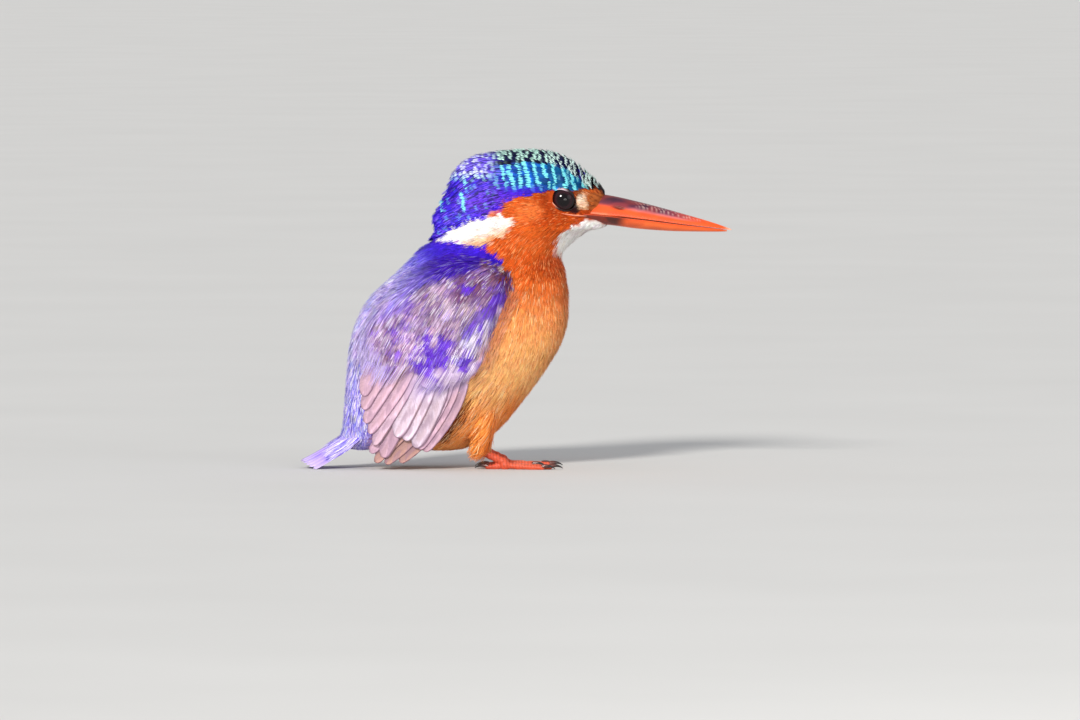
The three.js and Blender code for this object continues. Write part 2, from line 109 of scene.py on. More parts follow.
# The lower edge of the blue cap in side view.
CAP_EDGE = np.array([
    [-90, 57.6], [-21.9, 57.6], [-17.4, 60.6], [-9.9, 63.4], [-5.2, 64.2], [-4.2, 66.6], [-1.1, 68.1],
    [2.3, 69.0], [4.5, 69.5], [8.0, 69.9], [13.2, 69.9], [17.0, 70.6], [21.0, 69.8], [90, 69.8],
])
WING_HANGS_FROM = 15.0
WING_TURNS_IN = 0.22
TAIL_LINE = np.array([[-37.0, 0.0, 13.2], [-45.4, 0.0, 6.8], [-54.8, 0.0, 1.95]])
TAIL = {"half_width": (3.6, 6.2), "arch": 4.0, "feathers": 12, "shortening": 2.4, "length": 20.5}
THIGH = {"from": (-8.6, -5.2, 17.0), "to": (-9.4, -5.6, 4.6), "radius": (4.6, 2.0)}
TARSUS = {"from": (-10.4, -5.6, 4.9), "to": (-3.4, -5.8, 1.6), "radius": (1.0, 1.05)}
ANKLE = np.array([TARSUS["to"][0], TARSUS["to"][1], 0.0])
TOE_RADIUS = 0.85
TOE_HEIGHT = (1.0, 0.52)
# Each toe's length and its turn from straight ahead, in degrees.
TOES = {"inner": (7.6, 14), "middle": (11.6, -2), "outer": (9.9, -12), "hind": (5.2, 172)}
# How far each claw starts behind the toe's end, its bend and its tip ahead of there, and their heights.
CLAW = {"starts": 0.7, "root_height": 0.72, "bend": (1.92, 0.6), "tip": (3.35, 0.27), "radius": (0.58, 0.06)}

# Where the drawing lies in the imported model: the CAD centres it between the bill's and the tail's tips.
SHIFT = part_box("bill_upper")[1][0] / MM - BILL[-1, 0]

# Each bake map unwraps a closed form by direction from a centre, in shares of a size.
BODY_MAP = ((-15, 0, 38), (30, 14, 38))
HEAD_MAP = ((2, 0, 65), (24, 10, 16))
CREST_MAP = ((0, 0, 66), (22, 10, 14))
BACK_MAP = ((-32, 0, 30), (16, 12, 28))
WING_MAP = ((-18, 0, 38), (22, 14, 18))
TAIL_MAP = ((-42, 0, 10), (12, 10, 10))
BILL_MAP = ((30, 0, 63), (22, 4, 5))
# A tuft's place on the bake map is a square of this side.
PATCH = 0.0028


# ---- Small tools ----

def to_frame(points):
    """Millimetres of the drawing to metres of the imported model."""
    return (np.asarray(points, float) + [SHIFT, 0, 0]) * MM


def axes(points):
    """How far ahead places lie, how far from the middle plane on either side, and how high."""
    return points[..., 0], np.abs(points[..., 1]), points[..., 2]


def mix(a, b, share):
    return a + (b - a) * share


def smooth(value, low, high):
    t = np.clip((np.asarray(value, float) - low) / (high - low), 0, 1)
    return t * t * (3 - 2 * t)


def unit(vectors):
    length = np.linalg.norm(vectors, axis=-1, keepdims=True)
    return vectors / np.maximum(length, 1e-9)


def dot(a, b):
    return np.sum(a * b, axis=-1, keepdims=True)


def linear(colour):
    """A screen colour as linear light."""
    value = np.asarray(colour, float) / 255
    return np.where(value <= 0.04045, value / 12.92, ((value + 0.055) / 1.055) ** 2.4)


def laid_over(colour, tint, share):
    """Lays a tint of linear light over colours, by its share at each place."""
    return mix(colour, tint, np.clip(share, 0, 1)[..., None])


def layered(colour, *layers):
    """Lays screen colours over a first one or over painted places, each by its share at each place."""
    if isinstance(colour, tuple):
        colour = linear(colour)
    for tint, share in layers:
        colour = laid_over(colour, linear(tint), share)
    return colour


def curve_through(table, column):
    """A smooth curve through one column of a table, with no overshoot between its rows."""
    at, value = table[:, 0], table[:, column]
    width = np.diff(at)
    slope = np.diff(value) / width
    before = np.concatenate([slope[:1], slope])
    after = np.concatenate([slope, slope[-1:]])
    product = before * after
    tangent = np.where(product > 0, 2 * product / np.where(before + after == 0, 1, before + after), 0)

    def curve(x):
        x = np.asarray(x, float)
        i = np.clip(np.searchsorted(at, x, side="right") - 1, 0, len(at) - 2)
        t = np.clip((x - at[i]) / width[i], 0, 1)
        t2, t3 = t * t, t * t * t
        return (
            (2 * t3 - 3 * t2 + 1) * value[i]
            + (t3 - 2 * t2 + t) * width[i] * tangent[i]
            + (3 * t2 - 2 * t3) * value[i + 1]
            + (t3 - t2) * width[i] * tangent[i + 1]
        )

    return curve


body_rear, body_front, body_half = [curve_through(BODY, column) for column in (1, 2, 3)]
culmen_at, gape_at, keel_at, bill_half_at = [curve_through(BILL, column) for column in (1, 2, 3, 4)]


def slice_at(z):
    """Rear end, front end, half width and widest place of the plumage at a height."""
    headward = smooth(z, WIDEST["from"], WIDEST["to"])
    rear, front = body_rear(z), body_front(z)
    widest = mix(rear, front, mix(WIDEST["trunk"], WIDEST["head"], headward))
    return rear, front, body_half(z), widest, headward


def body_point(z, angle):
    rear, front, half, widest, headward = slice_at(z)
    ahead, aside = np.cos(angle), np.sin(angle)
    reach = np.where(ahead > 0, front - widest, widest - rear)
    power = 1 + headward * np.where(ahead > 0, POINTED["face"] - 1, POINTED["crest"] - 1)
    y = half * np.sign(aside) * np.abs(aside) ** power
    return np.stack([widest + reach * ahead, y, z + 0 * y], -1)


def wing_side(x, z):
    """Distance of the folded wing's inner face from the middle plane, seen at X and Z."""
    level = np.maximum(z, WING_HANGS_FROM)
    rear, front, half, widest, _ = slice_at(level)
    half = half - WING_TURNS_IN * np.maximum(0, WING_HANGS_FROM - z)
    reach = np.where(x > widest, front - widest, widest - rear)
    t = np.clip((x - widest) / reach, -0.985, 0.985)
    return half * np.sqrt(1 - t * t)


def inside(x, z, outline):
    """How deep a point lies inside an outline in side view; negative outside."""
    outline = np.asarray(outline, float)
    nearest = np.full(np.shape(x), 1e9)
    crossings = np.zeros(np.shape(x), bool)
    for (ax, az), (bx, bz) in zip(outline, np.roll(outline, -1, axis=0)):
        dx, dz = bx - ax, bz - az
        t = np.clip(((x - ax) * dx + (z - az) * dz) / (dx * dx + dz * dz), 0, 1)
        nearest = np.minimum(nearest, np.hypot(x - ax - t * dx, z - az - t * dz))
        spans = (az > z) != (bz > z)
        level = dz if dz else 1e-9
        crossings ^= spans & (x < ax + (z - az) * dx / level)
    return np.where(crossings, nearest, -nearest)


def above_line(x, z, line):
    return z - np.interp(x, line[:, 0], line[:, 1])


def spot(x, z, at, edge, core, wide=1.0, flat=1.0):
    """A soft round mark in side view: full inside its core and gone at its edge."""
    return smooth(np.hypot((x - at[0]) / wide, (z - at[1]) * flat), edge, core)


def mottled(x, z, size, seed):
    """A soft pattern of patches of about the given size, from 0 to 1."""
    picker = np.random.default_rng(seed)
    total = 0.0
    for _ in range(8):
        turn, start = picker.uniform(0, 2 * math.pi, 2)
        length = size * picker.uniform(1.3, 2.8)
        total = total + np.cos(2 * math.pi * (x * math.cos(turn) + z * math.sin(turn)) / length + start)
    return smooth(total, -2.6, 2.6)


def octahedral(points, centre, size):
    """An unwrap of a closed form onto the unit square, by direction from its centre."""
    d = (points - np.array(centre, float)) / np.array(size, float)
    d = d / np.maximum(np.abs(d).sum(-1, keepdims=True), 1e-9)
    x, y, z = d[..., 0], d[..., 1], d[..., 2]
    fold_x = (1 - np.abs(z)) * np.where(x >= 0, 1, -1)
    fold_z = (1 - np.abs(x)) * np.where(z >= 0, 1, -1)
    return np.stack([np.where(y > 0, fold_x, x), np.where(y > 0, fold_z, z)], -1) * 0.49 + 0.5


def make_mesh(name, points, faces, material, colours=None, uvs=None, replaces=()):
    """A mesh object from points in millimetres and an array of equal-sided faces."""
    points = np.asarray(points, float).reshape(-1, 3)
    faces = np.asarray(faces, np.int32)
    mesh = bpy.data.meshes.new(name)
    mesh.vertices.add(len(points))
    mesh.vertices.foreach_set("co", to_frame(points).ravel())
    mesh.loops.add(faces.size)
    mesh.loops.foreach_set("vertex_index", faces.ravel())
    mesh.polygons.add(len(faces))
    mesh.polygons.foreach_set("loop_start", np.arange(0, faces.size, faces.shape[1], dtype=np.int32))
    mesh.update(calc_edges=True)
    mesh.shade_smooth()
    colours = np.asarray(colours, float).reshape(-1, 3)
    rgba = np.concatenate([colours, np.ones((len(colours), 1))], axis=1)
    mesh.color_attributes.new("coat", "FLOAT_COLOR", "POINT").data.foreach_set("color", rgba.ravel())
    if uvs is not None:
        layer = mesh.uv_layers.new(name="OFBake")
        layer.data.foreach_set("uv", np.asarray(uvs, float).reshape(-1, 2)[faces.ravel()].ravel())
    mesh.materials.append(material)
    piece = bpy.data.objects.new(name, mesh)
    bpy.context.scene.collection.objects.link(piece)
    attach(piece, "root")
    if replaces:
        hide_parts(*replaces)
    return piece


def rod_points(path, radius, sides, squash=1.0):
    """Rings around a path of points, round or squashed in height."""
    path = np.asarray(path, float)
    ahead = unit(np.gradient(path, axis=0))
    side = unit(np.cross(ahead, [0.0, 0.0, 1.0]) + [0, 1e-6, 0])
    up = np.cross(side, ahead)
    angle = np.linspace(0, 2 * math.pi, sides, endpoint=False)
    ring = side[:, None] * np.cos(angle)[None, :, None] + up[:, None] * np.sin(angle)[None, :, None] * squash
    return path[:, None] + ring * np.asarray(radius, float)[:, None, None]


def closed_tube(form):
    """Points and quads of a tube of rings, closed by a ring of no size at each end."""
    first, last = [np.broadcast_to(end.mean(1, keepdims=True), end.shape) for end in (form[:1], form[-1:])]
    form = np.concatenate([first, form, last])
    return form.reshape(-1, 3), tube_faces(*form.shape[:2])


def tube_faces(rings, sides):
    """Quads between each ring of a tube and the next."""
    i = np.arange(rings - 1)[:, None] * sides
    j = np.arange(sides)[None, :]
    k = (j + 1) % sides
    return np.stack([i + j, i + k, i + sides + k, i + sides + j], -1).reshape(-1, 4)


def bezier(a, b, c, t):
    a, b, c = [np.asarray(p, float) for p in (a, b, c)]
    t = np.asarray(t, float)[..., None]
    return (1 - t) ** 2 * a + 2 * t * (1 - t) * b + t * t * c


# ---- Materials ----

def new_material(name, roughness, coat=0.0, sheen=0.0, specular=0.5):
    material = bpy.data.materials.new(name)
    material.use_nodes = True
    shader = material.node_tree.nodes["Principled BSDF"]
    set_inputs(shader, {
        "Roughness": roughness, "Coat Weight": coat, "Coat Roughness": 0.1,
        "Sheen Weight": sheen, "Sheen Roughness": 0.4, "Specular IOR Level": specular,
    })
    return material, material.node_tree, shader


def set_inputs(node, inputs):
    for name, value in inputs.items():
        node.inputs[name].default_value = value
    return node


def add_node(tree, kind, inputs=(), **settings):
    node = tree.nodes.new(kind)
    for name, value in settings.items():
        setattr(node, name, value)
    return set_inputs(node, dict(inputs))


def wire(tree, *pairs):
    """Links nodes' sockets: from a node's output to a node's input, by name or number."""
    for source, output, target, socket in pairs:
        tree.links.new(source.outputs[output], target.inputs[socket])


def tinted(tree, colour, noise, spread):
    """Scales a colour by a noise, whose values are first spread to a range; gives the scaling node."""
    low, high, darkest, lightest = spread
    ranged = add_node(tree, "ShaderNodeMapRange", {
        "From Min": low, "From Max": high, "To Min": darkest, "To Max": lightest,
    })
    tint = add_node(tree, "ShaderNodeVectorMath", operation="SCALE")
    tree.links.new(colour, tint.inputs[0])
    wire(tree, (noise, "Fac", ranged, "Value"), (ranged, "Result", tint, "Scale"))
    return tint


def painted_material(name, roughness, grain, depth, bump, stretch=(1, 1, 1), **shine):
    """A material whose colour is the mesh's own, broken up by a fine grain that also gives its bump."""
    material, tree, shader = new_material(name, roughness, **shine)
    paint = add_node(tree, "ShaderNodeAttribute", attribute_name="coat")
    place = add_node(tree, "ShaderNodeTexCoord")
    scale = add_node(tree, "ShaderNodeMapping", {"Scale": [grain * s for s in stretch]})
    noise = add_node(tree, "ShaderNodeTexNoise", {"Scale": 1.0, "Detail": 3.0})
    tint = tinted(tree, paint.outputs["Color"], noise, (0.25, 0.75, 1.0 - depth, 1.0 + depth))
    relief = add_node(tree, "ShaderNodeBump", {"Strength": bump, "Distance": 0.0001})
    rough = add_node(tree, "ShaderNodeMapRange", {
        "To Min": max(0.02, roughness - 0.08), "To Max": min(1.0, roughness + 0.08),
    })
    wire(
        tree,
        (place, "Object", scale, "Vector"), (scale, "Vector", noise, "Vector"),
        (tint, "Vector", shader, "Base Color"),
        (noise, "Fac", rough, "Value"), (rough, "Result", shader, "Roughness"),
        (noise, "Fac", relief, "Height"), (relief, "Normal", shader, "Normal"),
    )
    return material


def add_barb_lines(material):
    """Draws the barbs' lines on flight feathers, read from each vane's own lengths."""
    tree = material.node_tree
    shader = tree.nodes["Principled BSDF"]
    vane = add_node(tree, "ShaderNodeAttribute", attribute_name="vane")
    comb = add_node(tree, "ShaderNodeMapping", {"Scale": (5.0, 0.35, 1.0)})
    lines = add_node(tree, "ShaderNodeTexNoise", {"Scale": 1.0, "Detail": 2.0})
    painted = shader.inputs["Base Color"].links[0].from_socket
    tint = tinted(tree, painted, lines, (0.3, 0.7, 0.84, 1.08))
    wire(
        tree,
        (vane, "Vector", comb, "Vector"), (comb, "Vector", lines, "Vector"),
        (tint, "Vector", shader, "Base Color"),
    )


down_material = painted_material("down", 0.8, 2600, 0.10, 0.25, sheen=0.08, specular=0.12)
vane_material = painted_material("vane", 0.6, 3200, 0.10, 0.3, sheen=0.03, specular=0.18)
crest_material = painted_material("crest_vane", 0.5, 3200, 0.08, 0.25, specular=0.25)
flight_material = painted_material("flight_vane", 0.6, 2600, 0.06, 0.35, sheen=0.03, specular=0.25)
add_barb_lines(flight_material)
skin_material = painted_material("skin", 0.85, 1800, 0.15, 0.5, specular=0.2)
bill_material = painted_material("bill_horn", 0.34, 900, 0.10, 0.2, (0.25, 1, 1), coat=0.12, specular=0.35)
foot_material = painted_material("foot_skin", 0.5, 2400, 0.12, 0.8, specular=0.4)
claw_material = painted_material("claw_horn", 0.3, 2500, 0.2, 0.15, coat=0.3)
eye_material = painted_material("eye", 0.08, 2500, 0.3, 0.0, specular=0.3)
lid_material = painted_material("lid_skin", 0.45, 5000, 0.2, 0.7)

# Each kind of coat: its material, its slot and its bake map.
FACE_DOWN = (down_material, "rufous_feathers", HEAD_MAP)
BODY_DOWN = (down_material, "rufous_feathers", BODY_MAP)
BACK_VANES = (vane_material, "blue_feathers", BACK_MAP)
TAIL_VANES = (vane_material, "blue_feathers", TAIL_MAP)
WING_VANES = (vane_material, "wing_feathers", WING_MAP)
CREST_VANES = (crest_material, "crest_feathers", CREST_MAP)


# ---- Markings: colours by place on the bird, in side view ----

BLACK = (10, 8, 20)
WHITE = (252, 248, 244)
ULTRAMARINE = (54, 18, 208)
SILVER_BLUE = (176, 162, 246)

THROAT = [
    (9.0, 54.6), (10.2, 51.6), (14.0, 52.6), (20.0, 57.6), (26.0, 60.2), (22.0, 61.4),
    (16.2, 62.2), (13.4, 61.2), (11.0, 59.6), (9.6, 57.2),
]
NECK_PATCH = [
    (-24.0, 57.1), (-19.0, 59.4), (-15.0, 61.6), (-10.0, 63.0), (-4.6, 63.6), (-2.2, 62.9),
    (-1.2, 61.4), (-2.2, 59.8), (-5.0, 58.2), (-8.4, 56.4), (-12.0, 55.8), (-16.0, 56.6),
]
LORE = [(13.8, 65), (21, 64.6), (22, 69.4), (14, 69.6)]
PALE_LORE = [(14.0, 65.4), (16.4, 65.0), (17.0, 66.6), (16.4, 68.6), (14.4, 68.4)]
BACK_LINE = np.array([
    [-12.4, 60.0], [-12.0, 56.6], [-8.0, 55.2], [-4.0, 52.0], [-8.0, 47.0], [-18.0, 43.0],
    [-27.0, 36.0], [-33.0, 28.0], [-36.0, 18.0], [-37.5, 0.0],
])


def ahead_of_back(x, z):
    """How far a place lies ahead of the blue back's border; negative on the back."""
    return x - np.interp(-z, -BACK_LINE[:, 1], BACK_LINE[:, 0])


def breast_colour(x, y, z):
    """Rufous, paler on the belly, with a dark wedge of painted wing shadow beside the wing's edge and painted
    shade on the breast.
    """
    wing_edge = np.interp(z, [4, 8, 12, 16, 20], [-24.0, -20.0, -17.6, -15.4, -12.6])
    # The dark wedge beside the wing's edge is painted shadow cast by the wing.
    wing_shadow = smooth(x - wing_edge, 5.2, 2.8) * smooth(z, 22, 17) * smooth(y, 4, 7)
    # Greyish brown down the breast's front: partly painted shade where its edge turns from the light, partly
    # a duller tone of its own.
    middle = smooth(y, 7.5, 2.0) * smooth(x, 2, 9) * smooth(z, 54, 47) * smooth(z, 12, 26)
    return layered(
        (220, 96, 30),
        ((222, 94, 34), 0.5 * smooth(z, 46, 54) * smooth(x, 8, -6)),
        ((250, 154, 80), smooth(z, 50, 34) * (1 - 0.25 * smooth(x, 6, 12))),
        ((255, 194, 124), 0.9 * smooth(z, 47, 22) * smooth(x, -17, -8)),
        # Partly painted shade down the breast's front, partly its own duller tone.
        ((176, 104, 66), 0.35 * middle),
        ((255, 164, 92), smooth(x, -12, -20) * smooth(z, 24, 14)),
        ((255, 142, 56), 0.85 * smooth(z, 24, 14) * smooth(x, -16, -8)),
        ((182, 60, 8), 0.75 * smooth(z, 59, 62) * smooth(x, -2, 5)),
        # Painted shadow of the head on the upper breast.
        ((176, 62, 16), 0.7 * spot(x, z, (7, 50.5), 5.0, 2.0, flat=1.2)),
        ((246, 118, 44), 0.5 * spot(x, z, (3, 57.0), 6.0, 2.0, flat=1.2)),
        # Painted shadow of the wing, dark beside its edge.
        ((112, 34, 8), 0.94 * wing_shadow),
        ((240, 128, 62), 0.7 * spot(x, z, (2.5, 64.4), 3.6, 1.4, wide=1.3)),
    )


def face_colour(colour, x, z):
    """The pale lore, the black round the bill's root and the eye's front corner, and the white throat."""
    pale = smooth(inside(x, z, PALE_LORE), -0.4, 0.4)
    dark_lines = smooth(np.cos(2 * math.pi * (z + 0.5 * x) / 1.5), 0.45, 0.95)
    corner = np.hypot(0.75 * (x - 13.4) - 0.45 * (z - 65.0), 0.45 * (x - 13.4) + 1.1 * (z - 65.0))
    frayed = 0.9 * (mottled(x + 0.5 * z, z * 0.3 - 0.5 * x, 0.7, 71) - 0.5)
    return layered(
        colour,
        ((184, 96, 42), smooth(inside(x, z, LORE), -0.5, 0.5)),
        ((232, 196, 160), pale),
        ((250, 232, 212), pale * spot(x, z, (15.0, 67.4), 1.5, 0.4)),
        ((120, 52, 20), dark_lines * 0.75 * smooth(x, 16.6, 17.6)),
        (BLACK, smooth(x + 0.9 * (z - 68), 20.6, 22.0) * smooth(z, 66.4, 67.6)),
        (BLACK, 0.95 * smooth(corner, 1.9, 1.0)),
        (BLACK, 0.5 * spot(x, z, (14.4, 69.4), 1.6, 0.6)),
        (WHITE, smooth(inside(x, z, THROAT) + frayed, -0.4, 0.5)),
    )


def back_colour(x, y, z):
    pale = np.maximum(smooth(y, 9, 3) * smooth(z, 57, 48), smooth(x + 0.35 * (z - 40), -24, -34))
    return layered(
        (62, 24, 206),
        ((134, 122, 250), pale * 0.8),
        (SILVER_BLUE, smooth(x + 0.25 * (z - 40), -30, -36) * 0.95),
        ((214, 202, 250), 0.9 * smooth(y, 10, 4) * smooth(z, 54, 46) * smooth(z, 18, 30)),
        ((202, 184, 246), smooth(z, 14, 7) * smooth(x, -36, -42)),
    )


def cap_colour(x, z):
    return layered(
        ULTRAMARINE,
        ((92, 44, 206), smooth(z, 66, 61) * 0.5),
        (BLACK, smooth(x, -8, 4) * smooth(z, 74, 76.5)),
        (BLACK, smooth(x, 15, 18)),
        (BLACK, smooth(x, 9, 11) * smooth(z, 72, 71)),
    )


def plumage_colour(points):
    """The plumage's colour at places on the head, neck and trunk."""
    x, y, z = axes(points)
    colour = face_colour(breast_colour(x, y, z), x, z)
    patch = smooth(inside(x, z, NECK_PATCH), -0.35, 0.35)
    creamy = patch * 0.95 * smooth(z - 0.35 * x, 62.8, 59.6)
    colour = layered(colour, (WHITE, patch), ((240, 180, 120), creamy))
    back = smooth(ahead_of_back(x, z), 0.5, -0.5) * (1 - patch)
    tail_root = smooth(x, -34.6, -36.6) * smooth(z, 20, 15)
    colour = laid_over(colour, back_colour(x, y, z), np.maximum(back, tail_root))
    nape_drop = 2.2 * smooth(y, 6.5, 0.0) + 1.2 * (mottled(points[..., 1], z, 1.6, 61) - 0.5)
    cap = smooth(above_line(x, z, CAP_EDGE) + nape_drop * smooth(x, -14, -18), -0.3, 0.3)
    return laid_over(colour, cap_colour(x, z), cap)


# ---- The skin ----

WING_AREA = [
    (-8.0, 25.0), (-4.3, 37.0), (-1.8, 42.0), (-0.8, 46.0), (-2.0, 50.0), (-7.0, 53.4),
    (-17.0, 54.6), (-26.0, 50.8), (-33.4, 45.0), (-38.6, 38.0), (-40.6, 31.0), (-38.4, 23.6),
    (-33.0, 23.0), (-25.0, 22.0), (-14.0, 23.0),
]


def coat_depth(x, z):
    """How far the skin lies below the tips of the plumage."""
    return 1.35 - 0.45 * smooth(z, 54, 60) - 0.35 * (smooth(z, 57, 62) * smooth(x, -2, 6))


def eye_gap(x, z):
    """How far places lie from the eye's middle in side view, 2.5 at the lids' oval edge."""
    slant = EYE_OPENING["slant"]
    x, z = x - EYE[0], z - EYE[2]
    along = x * math.cos(slant) + z * math.sin(slant)
    across = -x * math.sin(slant) + z * math.cos(slant)
    return 2.5 * np.hypot(along / EYE_OPENING["long"], across / EYE_OPENING["short"])


def round_the_eyes(points):
    """Brings the skin to the height of the eyeball's rim all round each eye."""
    points = points.copy()
    x, out, z = axes(points)
    gap = eye_gap(x, z)
    rim = np.minimum(np.hypot(x - EYE[0], z - EYE[2]), 3.15)
    wanted = -EYE[1] + np.sqrt(EYE_RADIUS ** 2 - rim ** 2) - 0.2 - 1.2 * smooth(gap, 2.4, 1.6)
    change = np.clip(wanted - out, -1.3, 0.45) * smooth(gap, 5.2, 2.8) * (out > 2.5)
    points[..., 1] += np.sign(points[..., 1]) * change
    return points


def trunk_form():
    """Rings of the trunk, neck and head, lifted where the wings lie and at the bill's root."""
    rows, sides = 190, 168
    t = np.linspace(0, 1, rows)
    z = mix(BODY[0, 0], BODY[-1, 0], (1 - np.cos(math.pi * t)) / 2)
    angle = np.linspace(0, 2 * math.pi, sides, endpoint=False)
    points = body_point(z[:, None] + 0 * angle[None], angle[None] + 0 * z[:, None])
    x, y, z = axes(points)
    wing_swell = 3.0 * smooth(inside(x, z, WING_AREA), -0.5, 5.0) * smooth(y, 2, 7)
    bill_root = 0.55 * smooth(x, 15.5, 18.5) * smooth(z - 0.9 * (x - 16.5), 63.6, 64.8)
    offset = wing_swell - coat_depth(x, z) + bill_root
    around = np.roll(points, -1, axis=1) - np.roll(points, 1, axis=1)
    outwards = unit(np.cross(around, np.gradient(points, axis=0)))
    return round_the_eyes(points + outwards * offset[..., None])


def rod_path(rod, t):
    start, end = np.array(rod["from"]), np.array(rod["to"])
    return start + (end - start) * t[:, None]


def thigh_form(side):
    t = np.linspace(0, 1, 24)
    radius = mix(*THIGH["radius"], t ** 0.75) * np.sqrt(np.minimum(1, 0.1 + 2.4 * t)) - 0.7
    return rod_points(rod_path(THIGH, t) * [1, side, 1], radius, 24)


def foot_forms(side):
    """The tarsus and the four toes of one foot, with pads under the joints and one under the ankle."""
    t = np.linspace(0, 1, 30)
    swell = mix(*TARSUS["radius"], t) * (1 + 0.07 * np.cos(9 * math.pi * t)) - 0.04
    forms = [rod_points(rod_path(TARSUS, t) * [1, side, 1], swell, 20)]
    rise, sole = [np.array([0, 0, height]) for height in TOE_HEIGHT]
    for length, heading in TOES.values():
        turn = math.radians(heading)
        tip = ANKLE + np.array([math.cos(turn), math.sin(turn), 0]) * length
        path = bezier(ANKLE + rise, (ANKLE + tip) / 2 + sole, tip + sole, t)
        joints = 3 if length > 6 else 2
        radius = TOE_RADIUS * (1 - 0.24 * t) * (1 + 0.10 * np.cos(2 * math.pi * joints * t)) - 0.03
        radius = radius * np.sqrt(np.clip((1.02 - t) / 0.08, 0, 1))
        forms.append(rod_points(path * [1, side, 1], radius, 18))
    t = np.linspace(-1, 1, 12)
    path = ANKLE + [-0.2, 0, 1.0] + np.stack([t * 1.3, 0 * t, 0 * t], -1)
    forms.append(rod_points(path * [1, side, 1], 1.25 * np.sqrt(np.clip(1.02 - t * t, 0, 1)), 18))
    return forms


def fused(forms, voxel):
    """One closed surface round several overlapping tubes."""
    points, faces = [], []
    for form in forms:
        tube, quads = closed_tube(form)
        faces.append(quads + sum(map(len, points)))
        points.append(tube)
    mesh = bpy.data.meshes.new("fuse")
    mesh.from_pydata(np.concatenate(points).tolist(), [], np.concatenate(faces).tolist())
    holder = bpy.data.objects.new("fuse", mesh)
    bpy.context.scene.collection.objects.link(holder)
    remesh = holder.modifiers.new("remesh", "REMESH")
    remesh.mode = "VOXEL"
    remesh.voxel_size = voxel
    soften = holder.modifiers.new("soften", "SMOOTH")
    soften.iterations = 4
    soften.factor = 0.5
    graph = bpy.context.evaluated_depsgraph_get()
    made = bpy.data.meshes.new_from_object(holder.evaluated_get(graph))
    out = np.empty(len(made.vertices) * 3)
    made.vertices.foreach_get("co", out)
    corners = np.empty(len(made.loops), np.int32)
    made.loops.foreach_get("vertex_index", corners)
    bpy.data.objects.remove(holder)
    bpy.data.meshes.remove(mesh)
    bpy.data.meshes.remove(made)
    return out.reshape(-1, 3), corners.reshape(-1, 4)


def foot_colour(points):
    """Coral skin, pale on the toes' edges and dark along the scales' joins; painted shade darkens the tarsus
    and hind toe.
    """
    x, _, z = axes(points)
    ring = 0.5 + 0.5 * np.cos(2 * math.pi * (x + 0.15 * z) / 0.75)
    return layered(
        (208, 82, 50),
        # Painted shade: darker towards the rear, over the tarsus and the hind toe.
        ((150, 40, 20), smooth(x, -5, -10) * 0.8),
        ((246, 142, 110), 0.5 * smooth(z, 0.9, 1.5) * smooth(x, -4, 2)),
        ((120, 34, 18), 0.55 * smooth(ring, 0.72, 1.0) * smooth(z, 0.25, 0.7)),
    )


trunk_points, trunk_faces = fused([trunk_form(), thigh_form(1), thigh_form(-1)], 0.42)
feet_points, feet_faces = fused(foot_forms(1) + foot_forms(-1), 0.2)
feet_points[:, 2] = np.maximum(feet_points[:, 2], 0.0)
skin_tree = BVHTree.FromPolygons(trunk_points.tolist(), trunk_faces.tolist())
face_centres = trunk_points[trunk_faces].mean(1)


def make_skin():
    points = np.concatenate([trunk_points, feet_points])
    faces = np.concatenate([trunk_faces, feet_faces + len(trunk_points)])
    colours = np.concatenate([plumage_colour(trunk_points) * 0.8, foot_colour(feet_points)])
    nodes = ["crest", "head", "neck", "trunk", "rump", "undertail_coverts"]
    for side in ("right", "left"):
        nodes += [f"{part}_{side}" for part in ("scapulars", "wing_coverts", "thigh", "tarsus", "foot")]
    uvs = octahedral(points, *BODY_MAP)
    skin = make_mesh("skin", points, faces, skin_material, colours, uvs, nodes)
    skin.data.materials.append(foot_material)
    on_feet = np.arange(len(faces)) >= len(trunk_faces)
    skin.data.polygons.foreach_set("material_index", on_feet.astype(np.int32))


# ---- How the plumage lies ----

# Places in side view and the way the feathers there point: X, Z, then the direction.
LIE = np.array([
    [21, 69.5, -0.8, 0.6], [16, 75, -0.9, 0.5], [6, 79.5, -1, 0.1], [-6, 79.5, -1, -0.12],
    [-15, 75, -0.8, -0.6], [-19, 68, -0.6, -0.8], [-21, 61, -0.6, -0.8], [-10, 70, -1, -0.35],
    [2, 66, -1, -0.12], [8, 71.5, -1, 0.0], [16, 66, -1, 0.05], [6, 61, -0.9, -0.45],
    [20, 60.6, -0.9, -0.35], [14, 56.5, -0.5, -0.85], [10, 50, -0.15, -1], [10, 38, -0.05, -1],
    [7, 26, -0.45, -0.9], [0, 16, -0.6, -0.8], [-8, 8, -0.55, -0.84], [-24, 5, -1, -0.05],
    [0, 54, -0.6, -0.8], [-12, 60, -0.95, -0.3], [-23, 57, -0.75, -0.7], [-30, 50, -0.7, -0.72],
    [-38, 42, -0.45, -0.9], [-43, 32, -0.15, -1], [-44, 18, -0.03, -1], [-46, 7, -0.5, -0.87],
    [-6, 30, -0.45, -0.9], [-12, 14, -0.5, -0.86], [-16, 44, -0.5, -0.87], [-28, 36, -0.45, -0.9],
])


def laid_flat(ways, normals):
    """Directions along the skin, with what points off it taken away."""
    return unit(ways - normals * dot(ways, normals))


